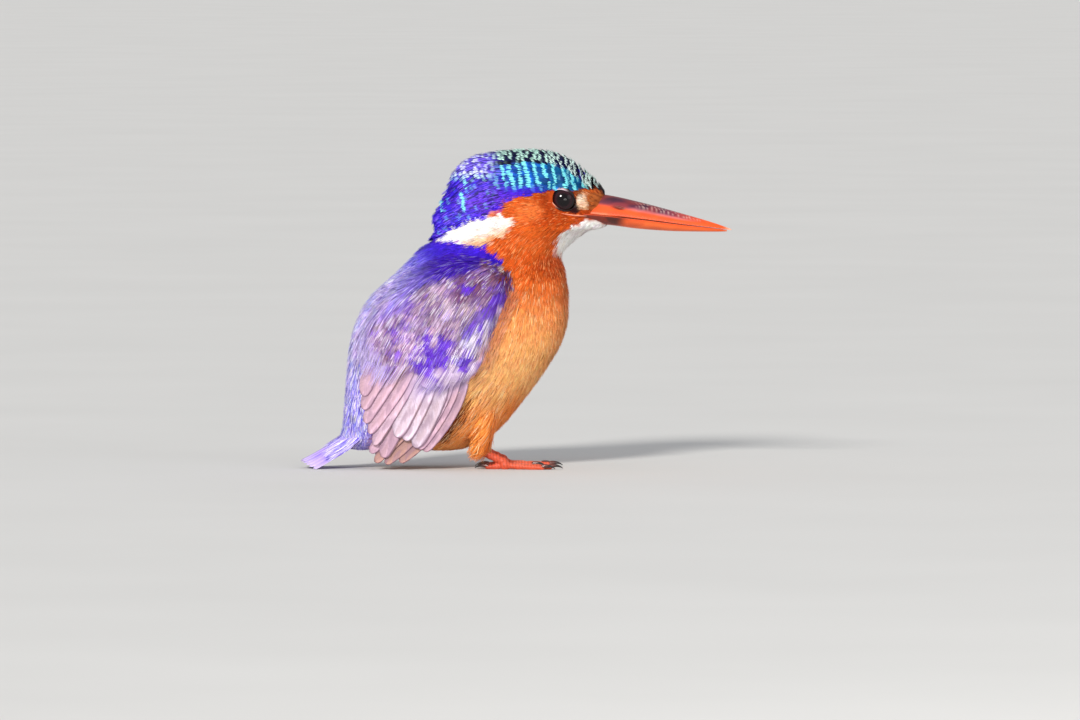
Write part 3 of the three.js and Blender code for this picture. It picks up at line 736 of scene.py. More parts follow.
def lie_at(points, normals):
    """The way feathers point at places on the skin; round each eye they part."""
    gap = points[:, None, [0, 2]] - LIE[None, :, :2]
    weight = 1 / (np.sum(gap ** 2, -1) + 4.0) ** 2
    way = weight @ LIE[:, 2:] / weight.sum(1, keepdims=True)
    lie = np.stack([way[:, 0], 0 * way[:, 0], way[:, 1]], -1)
    for side in (-1, 1):
        away = points - EYE * [1, -side, 1]
        away[:, 1] = 0
        near = smooth(np.hypot(away[:, 0], away[:, 2]), 5.2, 2.6) * (points[:, 1] * side > 0)
        out = unit(away)
        inward = np.minimum(dot(lie, out), 0)
        lie = lie - out * inward * near[:, None] * 1.15
    return laid_flat(lie, normals)


def nearest(points):
    """The closest places on the skin and the normals there."""
    found = [skin_tree.find_nearest(point) for point in points.tolist()]
    return np.array([hit[0] for hit in found]), np.array([hit[1] for hit in found])


def scattered(spacing, zone):
    """Roots on the skin in a zone, no two closer than the spacing."""
    order = rng.permutation(np.flatnonzero(zone(*face_centres.T)))
    places = face_centres[order] + rng.normal(0, 0.15, (len(order), 3))
    cells = np.floor(places / spacing).astype(int)
    around = [(a, b, c) for a in (-1, 0, 1) for b in (-1, 0, 1) for c in (-1, 0, 1)]
    taken, kept = {}, []
    for i, ((ca, cb, cc), (px, py, pz)) in enumerate(zip(cells.tolist(), places.tolist())):
        others = (other for a, b, c in around for other in taken.get((ca + a, cb + b, cc + c), ()))
        if all((px - x) ** 2 + (py - y) ** 2 + (pz - z) ** 2 >= spacing ** 2 for x, y, z in others):
            taken.setdefault((ca, cb, cc), []).append((px, py, pz))
            kept.append(i)
    return nearest(places[kept])


def draped(roots, normals, lies, lengths, steps):
    """Each feather's middle line, laid over the skin: places, normals and headings."""
    places, ups, ways = [roots], [normals], [lies]
    for _ in range(steps - 1):
        ahead = places[-1] + ways[-1] * (lengths / (steps - 1))[:, None]
        place, up = nearest(ahead)
        ways.append(laid_flat(ways[-1], up))
        places.append(place)
        ups.append(unit(up + ups[-1]))
    return np.stack(places, 1), np.stack(ups, 1), np.stack(ways, 1)


# ---- Small feathers ----

# The barbs' thickness and fan as shares of the width, their waywardness, how far root and tip stand
# off the skin, how domed, loose, ragged and round the feather is in millimetres, how late barbs taper.
Style = namedtuple("Style", "thick fan stray rise dome loose ragged round taper", defaults=(2.5,))
FACE_STYLE = Style(0.30, 0.5, 0.08, (0.06, 0.36), 0.1, 0.03, 0.15, 0.3)
NECK_STYLE = Style(0.20, 0.5, 0.12, (0.1, 0.72), 0.1, 0.05, 0.35, 0.5)
BELLY_STYLE = Style(0.16, 0.5, 0.14, (0.15, 0.98), 0.1, 0.08, 0.6, 0.7)
THIGH_STYLE = Style(0.16, 0.5, 0.2, (0.15, 1.3), 0.1, 0.16, 0.7, 0.7)
TROUSER_STYLE = Style(0.16, 0.5, 0.2, (0.2, 1.0), 0.1, 0.2, 1.0, 0.7)
FLANK_STYLE = Style(0.16, 0.5, 0.14, (0.4, 1.8), 0.1, 0.18, 0.9, 0.7)
BACK_STYLE = Style(0.19, 0.55, 0.10, (0.12, 0.98), 0.08, 0.06, 0.5, 0.6)
TAIL_STYLE = Style(0.19, 0.55, 0.10, (0.05, 0.3), 0.08, 0.06, 0.5, 0.6)
CREST_STYLE = Style(0.2, 0.6, 0.05, (0.08, 0.78), 0.12, 0.05, 0.14, 0.3, 8.0)
WING_STYLE = Style(0.17, 0.6, 0.06, (0.3, 1.25), 0.06, 0.05, 0.35, 0.45)
FRINGE_STYLE = Style(0.13, 0.7, 0.05, (0.0, 0.12), 0.06, 0.05, 0.7, 1.3)

# Where along its length a soft feather's mesh is cut across.
SOFT_STEPS = np.array([0, 0.35, 0.6, 0.8, 1.0])

# How much whole feathers and single barbs differ in light, how dark the root is, how hues differ.
Shade = namedtuple("Shade", "tuft barb root hue")


def along_spine(values, s):
    """Values at each feather's steps, read at the shares s of its length."""
    steps = values.shape[1]
    at = s * (steps - 1)
    low = np.minimum(at.astype(int), steps - 2)
    part = (at - low)[None, :, None]
    return values[:, low] * (1 - part) + values[:, low + 1] * part


def colour_places(spine, share):
    """The places at a share of each feather's length."""
    return along_spine(spine, np.array([share]))[:, 0]


def per_barb(values):
    """Values of barbs, given to both edges of each."""
    return np.repeat(values, 2, axis=2)


def barb_columns(count, s, barbs, style):
    """Separate barbs that fan out from the root, each a narrow blade that tapers."""
    middle = np.linspace(-0.5, 0.5, barbs)[None, None, :] + rng.normal(0, 0.04, (count, 1, barbs))
    bend = rng.normal(0, style.stray, (count, 1, barbs)) * s[None, :, None] ** 2
    spread = mix(style.fan, 1.0, s ** 0.7)[None, :, None] * middle + bend
    half = style.thick * (1 - 0.85 * s[None, :, None] ** style.taper) / 2
    return np.stack([spread - half, spread + half], -1).reshape(count, len(s), barbs * 2)


def barb_values(count, barbs, tuft, barb):
    """How light each feather's barbs are."""
    value = 1 + rng.normal(0, tuft, (count, 1, 1)) + rng.normal(0, barb, (count, 1, barbs))
    return per_barb(value)[..., None]


def barb_chances(count, barbs):
    """A number from 0 to 1 for each barb, by which some are picked."""
    return per_barb(rng.uniform(0, 1, (count, 1, barbs)))[..., None]


def own_shade(base, s, barbs, shade, streaks=()):
    """Each feather's own colour, darker towards its root, with variety between feathers and barbs.

    streaks lists colours that single barbs take: the colour, how many barbs take it and how much.
    """
    count = len(base)
    value = barb_values(count, barbs, shade.tuft, shade.barb)
    tint = 1 + rng.normal(0, shade.hue, (count, 1, 1, 3))
    barb_base = per_barb(np.repeat(base[:, None, None, :], barbs, axis=2))
    chance = barb_chances(count, barbs)
    low = 0.0
    for colour, portion, share in streaks:
        chosen = (chance >= low) & (chance < low + portion)
        streaked = mix(barb_base, linear(colour), np.reshape(share, (-1, 1, 1, 1)))
        barb_base = np.where(chosen, streaked, barb_base)
        low += portion
    by_length = mix(1 - shade.root, 1.04, smooth(s, 0.0, 0.7))[None, :, None, None]
    return np.clip(barb_base * value * tint * by_length, 0, 1)


def tufts(name, kind, laid, width, s, barbs, style, colours):
    """A mesh of many small barbed feathers laid over the skin, cut across at the shares s of their length."""
    material, slot, bake_map = kind
    spine, ups, ways = laid
    count, rows, across = len(spine), len(s), barbs * 2
    place, up, way = along_spine(spine, s), unit(along_spine(ups, s)), unit(along_spine(ways, s))
    side = np.cross(up, way)
    offset = barb_columns(count, s, barbs, style) * np.reshape(width, (-1, 1, 1))
    root_rise, tip_rise = style.rise
    height = root_rise + (tip_rise - root_rise) * s[None, :, None] ** 1.2 - style.dome * np.abs(offset)
    height = height + per_barb(rng.normal(0, style.loose, (count, 1, barbs))) * s[None, :, None]
    points = place[:, :, None] + side[:, :, None] * offset[..., None] + up[:, :, None] * height[..., None]
    ragged = per_barb(rng.uniform(-1, 1, (count, 1, barbs))) * style.ragged
    shortfall = np.repeat(style.round * np.linspace(-1, 1, barbs) ** 2, 2)
    reach = (ragged - shortfall[None, None, :]) * smooth(s, 0.3, 1.0)[None, :, None]
    points = points + way[:, :, None] * reach[..., None]
    first = np.arange(count)[:, None, None] * rows * across
    row = np.arange(rows - 1)[None, :, None] * across
    corner = first + row + np.arange(barbs)[None, None, :] * 2
    quads = np.stack([corner, corner + 1, corner + across + 1, corner + across], -1).reshape(-1, 4)
    patch = np.stack(np.broadcast_arrays(
        np.linspace(-PATCH / 2, PATCH / 2, across)[None, None, :],
        np.linspace(-PATCH / 2, PATCH / 2, rows)[None, :, None],
    ), -1)
    uvs = octahedral(spine[:, 0], *bake_map)[:, None, None, :] + patch
    make_mesh(name, points, quads, material, colours, uvs)


# ---- Zones ----

# Each zone says which places with the coordinates x, y and z belong to it.

def in_bill(x, y, z):
    between = (z < culmen_at(x) - 0.1) & (z > keel_at(x) + 0.1)
    return (x > 14.5) & (np.abs(y) < bill_half_at(x) + 0.1) & between


def is_cap(x, z):
    return above_line(x, z, CAP_EDGE) > -0.2


def is_face(x, z):
    return (z > 59.5) & (x > 3)


def is_back(x, z):
    return (ahead_of_back(x, z) < 0) & (z < 57.5) & ~((inside(x, z, NECK_PATCH) > 0) & (z > 55))


def is_thigh(x, y, z):
    return (z < 6.6) & (x > -13.5) & (np.abs(y) > 2.6)


def under_wing(x, y, z):
    return (inside(x, z, WING_AREA) > 1.6) & (np.abs(y) > 5)


def at_gape(x, z):
    over_gape = (z >= 63.2) & (z < 68.6) & (x > 16.4 + 0.9 * (z - 63.6))
    return ((x > 15.8) & (z > 61.5) & (z < 63.6)) | over_gape


def face_zone(x, y, z):
    return ~at_gape(x, z) & is_face(x, z) & ~is_cap(x, z) & (eye_gap(x, z) > 2.9) & ~in_bill(x, y, z)


def neck_zone(x, y, z):
    return (z > 48) & ~is_cap(x, z) & ~is_back(x, z) & ~is_face(x, z) & ~under_wing(x, y, z)


def belly_zone(side):
    def zone(x, y, z):
        return (z <= 48) & ~is_back(x, z) & ~is_thigh(x, y, z) & ~under_wing(x, y, z) & (y * side <= 0)
    return zone


def wing_zone(side):
    def zone(x, y, z):
        return (inside(x, z, WING_AREA) > 0.4) & (y * side < -4.0)
    return zone


def trouser_zone(x, y, z):
    return (x > -15.5) & (x < -1.5) & (z > 5.0) & (z < 24) & (np.abs(y) > 3.6)


def flank_zone(x, y, z):
    front = np.interp(z, [16, 22, 25, 37, 42, 46], [-14.4, -11.6, -9.0, -4.6, -2.6, -1.6])
    return (x > front - 0.6) & (x < front + 2.2) & (z > 23) & (z < 46) & (np.abs(y) > 5)


def back_zone(x, y, z):
    return is_back(x, z) & ~under_wing(x, y, z)


def clear_of_eyes(laid, gap):
    """The laid feathers that keep their distance from the eyes' lids."""
    spine = laid[0]
    keep = eye_gap(spine[..., 0], spine[..., 2]).min(1) > gap
    return [values[keep] for values in laid]


# ---- Soft coats of the face, breast, belly and back ----

RUST = (140, 44, 14)
PALE_BARBS = (255, 178, 112)
# How far the colour's place wanders, the shades, and the streaks of each down.
FACE_LOOK = (0.15, Shade(0.08, 0.09, 0.25, 0.03), ((RUST, 0.12, 0.55), (PALE_BARBS, 0.08, 0.4)))
NECK_LOOK = (0.25, Shade(0.07, 0.09, 0.22, 0.03), ((RUST, 0.08, 0.5), (PALE_BARBS, 0.14, 0.5)))
BELLY_LOOK = (
    0.4, Shade(0.06, 0.08, 0.18, 0.03), (((196, 96, 40), 0.12, 0.45), ((255, 222, 170), 0.12, 0.5)),
)


def down_coat(name, zone, spacing, length, width, barbs, style, look, kind=BODY_DOWN):
    """Covers a zone of the skin with barbed tufts in the plumage's own colours, clear of the eyes."""
    roots, normals = scattered(spacing, zone)
    lies = lie_at(roots, normals)
    lengths = length * rng.uniform(0.8, 1.15, len(roots)) * (1 + 0.45 * smooth(roots[:, 2], 26, 12))
    laid = draped(roots, normals, lies, lengths, 4)
    laid = clear_of_eyes(laid, 2.6)
    s = np.linspace(0, 1, 4)
    wander, shade, streaks = look
    base = plumage_colour(colour_places(laid[0], 0.6) + rng.normal(0, wander, (len(laid[0]), 3)))
    warm = smooth(base[:, 0] - base[:, 2], 0.15, 0.4)
    streaks = [(colour, portion, share * warm) for colour, portion, share in streaks]
    colours = own_shade(base, s, barbs, shade, streaks)
    tufts(name, kind, laid, width, s, barbs, style, colours)


def trouser_coat():
    """Long loose feathers that hang from the lower flank and the thigh back towards the wing's edge."""
    roots, normals = scattered(1.05, trouser_zone)
    lies = laid_flat(unit(np.array([-0.62, 0.0, -0.78]) + rng.normal(0, 0.08, roots.shape)), normals)
    lengths = 6.4 * rng.uniform(0.75, 1.15, len(roots)) * smooth(roots[:, 2], 1.0, 8.5)
    spine, ups, ways = draped(roots, normals, lies, lengths, 6)
    t = np.linspace(0, 1, 6)
    free = roots[:, None] + lies[:, None] * (lengths[:, None] * t[None, :])[..., None]
    spine = mix(spine, free, (0.55 * smooth(roots[:, 2], 17, 8))[:, None, None])
    spine[..., 1] += np.sign(spine[..., 1]) * (t ** 1.5 * 0.6)[None, :]
    spine[..., 2] = np.maximum(spine[..., 2], 3.0)
    s = np.array([0, 0.3, 0.55, 0.8, 1.0])
    base = plumage_colour(roots + rng.normal(0, 0.4, roots.shape))
    streaks = (((255, 216, 168), 0.16, 0.7), ((150, 72, 30), 0.10, 0.6))
    colours = own_shade(base, s, 10, Shade(0.08, 0.08, 0.2, 0.03), streaks)
    tufts("coat_trousers", BODY_DOWN, (spine, ups, ways), 1.6, s, 10, TROUSER_STYLE, colours)


def flank_coat():
    """Longer loose feathers of the flank that lap over the folded wing's front edge."""
    roots, normals = scattered(0.85, flank_zone)
    lies = laid_flat(unit(lie_at(roots, normals) + np.array([-0.55, 0, 0])), normals)
    laid = draped(roots, normals, lies, 4.6 * rng.uniform(0.8, 1.2, len(roots)), 5)
    base = plumage_colour(roots + np.array([2.0, 0, 0]) + rng.normal(0, 0.4, roots.shape))
    rosy = 0.55 * smooth(roots[:, 2], 20, 30) * rng.uniform(0.2, 1, len(roots))
    base = layered(base, ((238, 178, 150), rosy))
    streaks = (((255, 206, 150), 0.10, 0.5), ((150, 74, 34), 0.12, 0.5))
    colours = own_shade(base, SOFT_STEPS, 10, Shade(0.07, 0.08, 0.15, 0.03), streaks)
    tufts("coat_flanks", BODY_DOWN, laid, 1.7, SOFT_STEPS, 10, FLANK_STYLE, colours)


def back_coat():
    """Silky narrow feathers on the mantle, back and rump, some barbs paler than the rest."""
    roots, normals = scattered(0.78, back_zone)
    lies = lie_at(roots, normals)
    length = mix(3.2, 5.0, smooth(roots[:, 2], 40, 25)) * rng.uniform(0.85, 1.15, len(roots))
    laid = draped(roots, normals, lies, length, 5)
    base = plumage_colour(colour_places(laid[0], 0.6) + rng.normal(0, 0.3, roots.shape))
    pale = smooth(roots[:, 0], -20, -30)
    streaks = (
        ((244, 236, 255), 0.34, 0.85 * pale), ((60, 24, 196), 0.2, 0.7), ((110, 136, 255), 0.14, 0.6 * pale),
    )
    colours = own_shade(base, SOFT_STEPS, 8, Shade(0.12, 0.10, 0.3, 0.04), streaks)
    tufts("coat_back", BACK_VANES, laid, 1.4, SOFT_STEPS, 8, BACK_STYLE, colours)


make_skin()
# The numbers are each coat's spacing, its tufts' length and width, and their barbs.
down_coat("coat_face", face_zone, 0.46, 1.6, 0.7, 5, FACE_STYLE, FACE_LOOK, FACE_DOWN)
down_coat("coat_neck", neck_zone, 0.62, 2.8, 1.1, 8, NECK_STYLE, NECK_LOOK)
for word, side in SIDES:
    down_coat(f"coat_belly_{word}", belly_zone(side), 0.78, 4.2, 1.5, 10, BELLY_STYLE, BELLY_LOOK)
down_coat("coat_thighs", is_thigh, 0.66, 2.1, 1.2, 9, THIGH_STYLE, BELLY_LOOK)
trouser_coat()
flank_coat()
back_coat()


# ---- The crest ----

# The upper edge of the blue band along the crown's side.
BAND_TOP = np.array([
    [-90, 75.4], [-9.0, 75.4], [-1.6, 76.3], [4.0, 76.4], [8.0, 75.8], [12.0, 74.2],
    [15.7, 71.2], [17.4, 69.4], [90, 66],
])
CREST_FROM = np.array([20.6, 0.0, 68.0])
CREST_TO = np.array([-21.5, 0.0, 57.0])
CREST_STEPS = np.array([0.0, 0.4, 0.60, 0.68, 0.82, 0.94, 1.0])
CREST_BARBS = 6
CREST_SHADE = Shade(0.10, 0.10, 0.4, 0.04)
CYAN = (140, 250, 255)


def crest_place(t, roll):
    """A place on the skin by its share of the way from forehead to nape and its roll off the middle."""
    axis = unit(CREST_TO - CREST_FROM)
    aside = np.array([0.0, 1.0, 0.0])
    up = unit(np.cross(aside, axis))
    up = up * np.sign(up[2])
    starts = CREST_FROM + (CREST_TO - CREST_FROM) * t[:, None]
    ways = up[None] * np.cos(roll)[:, None] + aside[None] * np.sin(roll)[:, None]
    hits = [skin_tree.ray_cast(start, way) for start, way in zip(starts.tolist(), ways.tolist())]
    found = np.array([hit[0] is not None for hit in hits])
    places = np.array([hit[0] or (0, 0, 0) for hit in hits], float)
    normals = np.array([hit[1] or (0, 0, 0) for hit in hits], float)
    return places, normals, found


def crest_rows():
    """Feathers in rows over the cap: their middle lines, and each one's row and column."""
    rows, cols = 48, 61
    t, roll = np.meshgrid(np.linspace(-0.02, 1.0, rows), np.linspace(-2.1, 2.1, cols), indexing="ij")
    row, column = np.meshgrid(np.arange(rows), np.arange(cols), indexing="ij")
    roll = roll + (row[:, :1] % 4 - 1.5) * 1.05 / cols
    wave = 0.006 * np.sin(3.1 * roll + 1.7 * row[:, :1])
    t = (t + wave + rng.normal(0, 0.0025, t.shape)).ravel()
    roll = (roll + rng.normal(0, 0.012, roll.shape)).ravel()
    roots, normals, found = crest_place(t, roll)
    ahead, _, found_ahead = crest_place(t + 0.02, roll)
    x, _, z = axes(roots)
    keep = found & found_ahead & (above_line(x, z, CAP_EDGE) > -0.5) & (eye_gap(x, z) > 3.0)
    roots, normals, ahead = roots[keep], normals[keep], ahead[keep]
    lies = laid_flat(ahead - roots, normals)
    length = mix(2.2, 3.4, smooth(x[keep], 18, 2)) * rng.uniform(0.92, 1.08, len(roots))
    laid = draped(roots, normals, lies, length, 4)
    return clear_of_eyes([*laid, row.ravel()[keep], column.ravel()[keep]], 2.75)


def crest_coat():
    """Rows of small feathers over the cap, each with one bright bar, so that the bars line up."""
    spine, ups, ways, row, column = crest_rows()
    count, barbs, s = len(row), CREST_BARBS, CREST_STEPS
    x, _, z = axes(colour_places(spine, 0.7))
    front = smooth(x, -9, -4)
    rear = 1 - front
    over_band = above_line(x, z, BAND_TOP)
    band = smooth(over_band, 0.2, -0.2) * front
    top = front * (1 - band)
    on_band = band * smooth(z + 1.4 * smooth(x, 6, 12), 69.4, 71.4)
    gap = on_band * smooth(x, -7, -2) * (row % 2 == 1)
    base = layered(
        ULTRAMARINE,
        ((112, 50, 228), 0.7 * smooth(np.abs(z - 66.5) + 0.4 * np.abs(x + 6), 6.0, 1.5)),
        ((118, 100, 226), rear * smooth(z, 71.5, 75)),
        ((8, 112, 214), 0.95 * on_band * smooth(x, -7, 0)),
        ((10, 128, 172), 0.75 * on_band * smooth(x, 2, 9)),
        ((4, 50, 110), gap * rng.uniform(0.2, 0.85, count)),
        ((8, 20, 28), top * 0.94),
        (BLACK, 0.85 * front * smooth(np.abs(over_band), 0.45, 0.15) * smooth(x, 9, 4)),
        (BLACK, smooth(x, 14, 17)),
    )
    bar = layered(
        (206, 255, 240),
        (CYAN, band),
        ((236, 255, 250), 0.8 * smooth(x, 4, 12) * (1 - band)),
        (CYAN, rear * smooth(z, 74, 71)),
        ((226, 232, 255), rear * smooth(z, 72, 74.5)),
    )
    strength = crest_bar_strength(x, z, row, column, over_band, on_band, top, rear)
    plain = own_shade(base, s, barbs, CREST_SHADE)
    off_band = 1 - 0.9 * band * smooth(x, -6, 0)
    streaks = (((16, 6, 90), 0.26, 0.8 * off_band), ((124, 84, 255), 0.18, 0.7 * off_band))
    colours = np.where(top[:, None, None, None] > 0.5, plain, own_shade(base, s, barbs, CREST_SHADE, streaks))
    at = s[None, :, None] + per_barb(rng.normal(0, 0.02, (count, 1, barbs)))
    dotted = np.maximum(top, rear)[:, None, None]
    stripe = smooth(at, 0.61 + 0.08 * dotted, 0.68 + 0.07 * dotted) * smooth(at, 1.05, 0.97)
    u = np.abs(np.repeat(np.linspace(-1, 1, barbs), 2))[None, None, :]
    narrow = mix(1.0, smooth(u, 1.2, 0.8), (rear * smooth(z, 71, 73))[:, None, None])
    colours = laid_over(colours, bar[:, None, None, :], stripe * narrow * strength[:, None, None])
    rim = smooth(s, 0.95, 1.0)[None, :, None, None] * 0.2
    colours = mix(colours, (base * 0.3)[:, None, None, :], rim)
    ragged = smooth(x, -12, -19) * rng.uniform(0.0, 0.7, count) + rng.uniform(0.0, 0.2, count)
    spine = spine + ups * (ragged[:, None] * np.linspace(0, 1, 4)[None, :] ** 2)[..., None]
    tufts("coat_crest", CREST_VANES, (spine, ups, ways), 1.15, s, barbs, CREST_STYLE, colours)


def crest_bar_strength(x, z, row, column, over_band, on_band, top, rear):
    """How bright each feather's bar is: dots on top, lines down the band, dots and streaks behind."""
    luck = rng.uniform(0, 1, len(x))
    barred = row % 2 == 0
    spotted = (column // 2 + row) % 2 == 0
    on_top = top * np.where(spotted, 1.0, luck > mix(0.6, 0.05, smooth(x, 2, 9)))
    on_top = on_top * smooth(over_band + 0.6 * smooth(x, 4, 9), 0.2, 0.5)
    lines = on_band * smooth(x, -8, -3)
    behind = rear * smooth(z, 71.5, 73.5) * np.where(spotted, luck > 0.03, luck > 0.6)
    streaked = ((column // 6) * 5 + row // 2) % 4 == 0
    streaks = rear * smooth(x, -10, -13) * smooth(z, 62, 65) * streaked * 0.9
    between = lines * (luck > 0.6) * 0.6 * smooth(x, 8, 13)
    flecks = (luck > 0.90) * 0.25 * rear * (z < 73)
    strength = np.maximum.reduce([on_top, behind, np.maximum(lines, streaks) * barred, between, flecks])
    return strength * rng.uniform(0.94, 1.0, len(x))


crest_coat()


# ---- Whole feathers, drawn in side view and laid over the wing ----

FEATHER_THICKNESS = 0.12
BLADE = {"rows": 36, "columns": 15, "root": 0.55, "blunt": 0.85, "outer_vane": 0.48, "inner_vane": 0.52}


def blade_grid(spine, width, oblique):
    """A feather's grid in side view: its middle line, and its vanes to either side with a round tip."""
    rows, columns = BLADE["rows"], BLADE["columns"]
    t = 1 - (1 - np.linspace(0, 1, rows)) ** 1.6
    line = bezier(*spine, t)
    length = np.linalg.norm(np.diff(line, axis=0), axis=1).sum()
    way = unit(np.gradient(line, axis=0))
    side = np.stack([-way[:, 1], way[:, 0]], -1)
    round_from = 1 - BLADE["blunt"] * width / length
    rounding = np.clip(t - round_from, 0, 1) / (1 - round_from)
    swell = mix(BLADE["root"], 1, smooth(t, 0, 0.5)) * np.sqrt(np.clip(1 - rounding ** 2.2, 0.0, 1))
    u = np.sin(np.linspace(-1, 1, columns) * math.pi / 2)
    lateral = np.where(u < 0, u * BLADE["outer_vane"], u * BLADE["inner_vane"]) * width
    nicks = rng.uniform(-1, 1, (rows, columns)) * 0.06 * (np.abs(u) > 0.9)
    grid = line[:, None] + side[:, None] * ((lateral[None, :] + nicks) * swell[:, None])[..., None]
    slant = 0.5 * width * oblique * u[None, :] * smooth(t, 0.4, 1.0)[:, None] * swell[:, None]
    return grid + way[:, None] * slant[..., None], t, u


def off_the_body(x, z):
    """How freely the wing stands off: less where the scapulars lie on the back."""
    return 1 - 0.65 * smooth(x + 0.45 * (z - 36), -29, -38) * smooth(z, 24, 31)


def laid_on_wing(grid, u, t, layer, dome, tilt):
    """Gives a side-view grid its place off the wing's inner face, on the bird's right."""
    x, z = grid[..., 0], grid[..., 1]
    across = dome * (1 - u[None, :] ** 2) + tilt * u[None, :]
    y = wing_side(x, z) + layer * off_the_body(x, z) + across - 0.7 * smooth(t, 0.5, 0)[:, None]
    return np.stack([x, -y, z], -1)


def plate(points, colours, t, u, patch):
    """One feather as a closed thin plate: points, faces, colours, bake places and vane lengths.

    patch is its place and size on the bake map; the vane lengths run along and across its barbs.
    """
    rows, columns = points.shape[:2]
    normal = unit(np.cross(np.gradient(points, axis=0), np.gradient(points, axis=1)))
    under = points - normal * FEATHER_THICKNESS * np.sign(dot(normal, np.array([0, -1.0, 0.3])))
    i = np.arange(rows - 1)[:, None] * columns
    j = np.arange(columns - 1)[None, :]
    quads = np.stack([i + j, i + j + 1, i + columns + j + 1, i + columns + j], -1).reshape(-1, 4)
    below = rows * columns
    lines = (np.arange(columns), np.arange(rows) * columns + columns - 1,
             (below - 1) - np.arange(columns), (rows - 1 - np.arange(rows)) * columns)
    rims = [np.stack([line[1:], line[:-1], line[:-1] + below, line[1:] + below], -1) for line in lines]
    faces = np.concatenate([quads, quads[:, ::-1] + below, *rims])
    flat = colours.reshape(-1, 3)
    underside = mix(flat, np.median(flat, axis=0), 0.85) * 0.85
    left, bottom, wide, tall = patch
    across, up = np.meshgrid(np.linspace(0, 1, columns), np.linspace(0, 1, rows))
    place = np.stack([left + across * wide, bottom + up * tall], -1).reshape(-1, 2)
    length = np.linalg.norm(np.diff(points[:, columns // 2], axis=0), axis=-1).sum()
    half = np.linalg.norm(points[rows // 2, -1] - points[rows // 2, 0]) / 2
    barb = length * t[:, None] - 1.1 * half * np.abs(u)[None, :]
    vane = np.stack([barb, half * u[None, :] + 0 * barb, 0 * barb], -1).reshape(-1, 3)
    both = [np.concatenate(pair) for pair in ((flat, underside), (place, place), (vane, vane))]
    return [np.concatenate([points.reshape(-1, 3), under.reshape(-1, 3)]), faces, *both]


def feather_mesh(name, side, feathers, replaces=()):
    """Whole feathers gathered into one mesh, each vane with its own pattern of barbs."""
    points, faces, colours, uvs, vanes = zip(*[plate(*feather) for feather in feathers])
    starts = np.cumsum([0] + [len(form) for form in points])
    faces = np.concatenate([quads + start for quads, start in zip(faces, starts)])
    for number, vane in enumerate(vanes):
        vane[:, 2] = 7.0 * number
    if side < 0:
        faces = faces[:, ::-1]
    points = np.concatenate(points) * [1, side, 1]
    colours, uvs = np.concatenate(colours), np.concatenate(uvs)
    piece = make_mesh(name, points, faces, flight_material, colours, uvs, replaces)
    vane = piece.data.attributes.new("vane", "FLOAT_VECTOR", "POINT")
    vane.data.foreach_set("vector", np.concatenate(vanes).ravel())


def flight_colour(t, u, base, edge, shaft, outer, edge_share=0.8):
    """A vane with a thin edge on its outer side, which is 1 or -1, a paler band, painted shade on the other
    side and a fine shaft.
    """
    t, u = t[:, None], u[None, :]
    pale = 0.8 * smooth(u * outer, 0.1, 0.6) + 0 * t
    colour = laid_over(base, np.minimum(base * 1.3, 1.0), pale)
    # Painted shade over the vane's other side, away from its edge.
    colour = laid_over(colour, base * 0.66, 0.7 * smooth(-u * outer, 0.0, 0.9))
    colour = layered(
        colour,
        (edge, edge_share * smooth(u * outer, 0.80, 0.90)),
        (edge, 0.5 * edge_share * smooth(t, 0.97, 0.995)),
    )
    colour = colour * (1 - 0.15 * smooth(t, 0.5, 0.1)[..., None])
    return layered(colour, (shaft, 0.2 * smooth(np.abs(u), 0.10, 0.02)))


LILAC = (220, 188, 208)
LILAC_BLUE = (206, 194, 222)
PINKISH = (212, 174, 194)
BUFF = (192, 148, 138)
SILVER = (220, 200, 218)
EDGE_BROWN = (84, 48, 74)
SHAFT_BROWN = (150, 112, 136)

# Long wing feathers, the lowest layer first: root, bend, tip, width, then the vane's colour.
PRIMARIES = [
    ((-16.0, 22.0), (-20.5, 7.6), (-30.0, 2.3), 2.2, BUFF),
    ((-18.0, 22.0), (-24.0, 7.8), (-33.6, 1.9), 2.4, BUFF),
    ((-20.0, 22.0), (-27.2, 9.4), (-36.2, 2.2), 2.5, BUFF),
    ((-22.0, 24.0), (-29.6, 11.2), (-37.4, 4.6), 2.6, PINKISH),
    ((-12.6, 27.0), (-14.0, 15.0), (-23.9, 5.0), 2.6, PINKISH),
    ((-14.2, 27.0), (-16.2, 16.4), (-25.2, 5.5), 2.6, PINKISH),
    ((-15.6, 27.0), (-17.8, 17.2), (-25.9, 5.9), 2.6, LILAC),
]
SECONDARIES = [
    ((-24.6, 22.0), (-29.4, 12.5), (-34.6, 3.7), 4.0, PINKISH),
    ((-17.6, 27.0), (-20.0, 17.4), (-26.6, 6.3), 4.8, SILVER),
    ((-20.2, 27.5), (-23.4, 18.2), (-29.0, 8.0), 4.4, SILVER),
    ((-22.2, 28.0), (-25.7, 19.0), (-31.2, 8.9), 4.8, SILVER),
    ((-24.0, 28.0), (-28.6, 18.8), (-36.6, 6.6), 2.9, LILAC),
    ((-25.0, 28.6), (-30.2, 18.8), (-37.8, 9.6), 3.0, PINKISH),
    ((-26.8, 31.0), (-32.2, 21.6), (-38.8, 12.2), 3.0, PINKISH),
    ((-28.4, 33.5), (-34.0, 24.6), (-39.3, 15.6), 3.4, PINKISH),
    ((-30.0, 36.0), (-35.6, 28.0), (-39.4, 19.0), 3.8, PINKISH),
]
GREATER_COVERTS = [
    ((-9.4, 32.0), (-11.4, 27.2), (-14.6, 22.6), 3.6, LILAC),
    ((-12.4, 31.0), (-15.0, 25.8), (-18.6, 20.4), 4.2, LILAC_BLUE),
    ((-15.4, 30.4), (-18.2, 25.0), (-22.0, 19.0), 4.2, LILAC_BLUE),
    ((-18.6, 30.4), (-21.6, 24.6), (-25.4, 18.8), 4.2, LILAC),
]
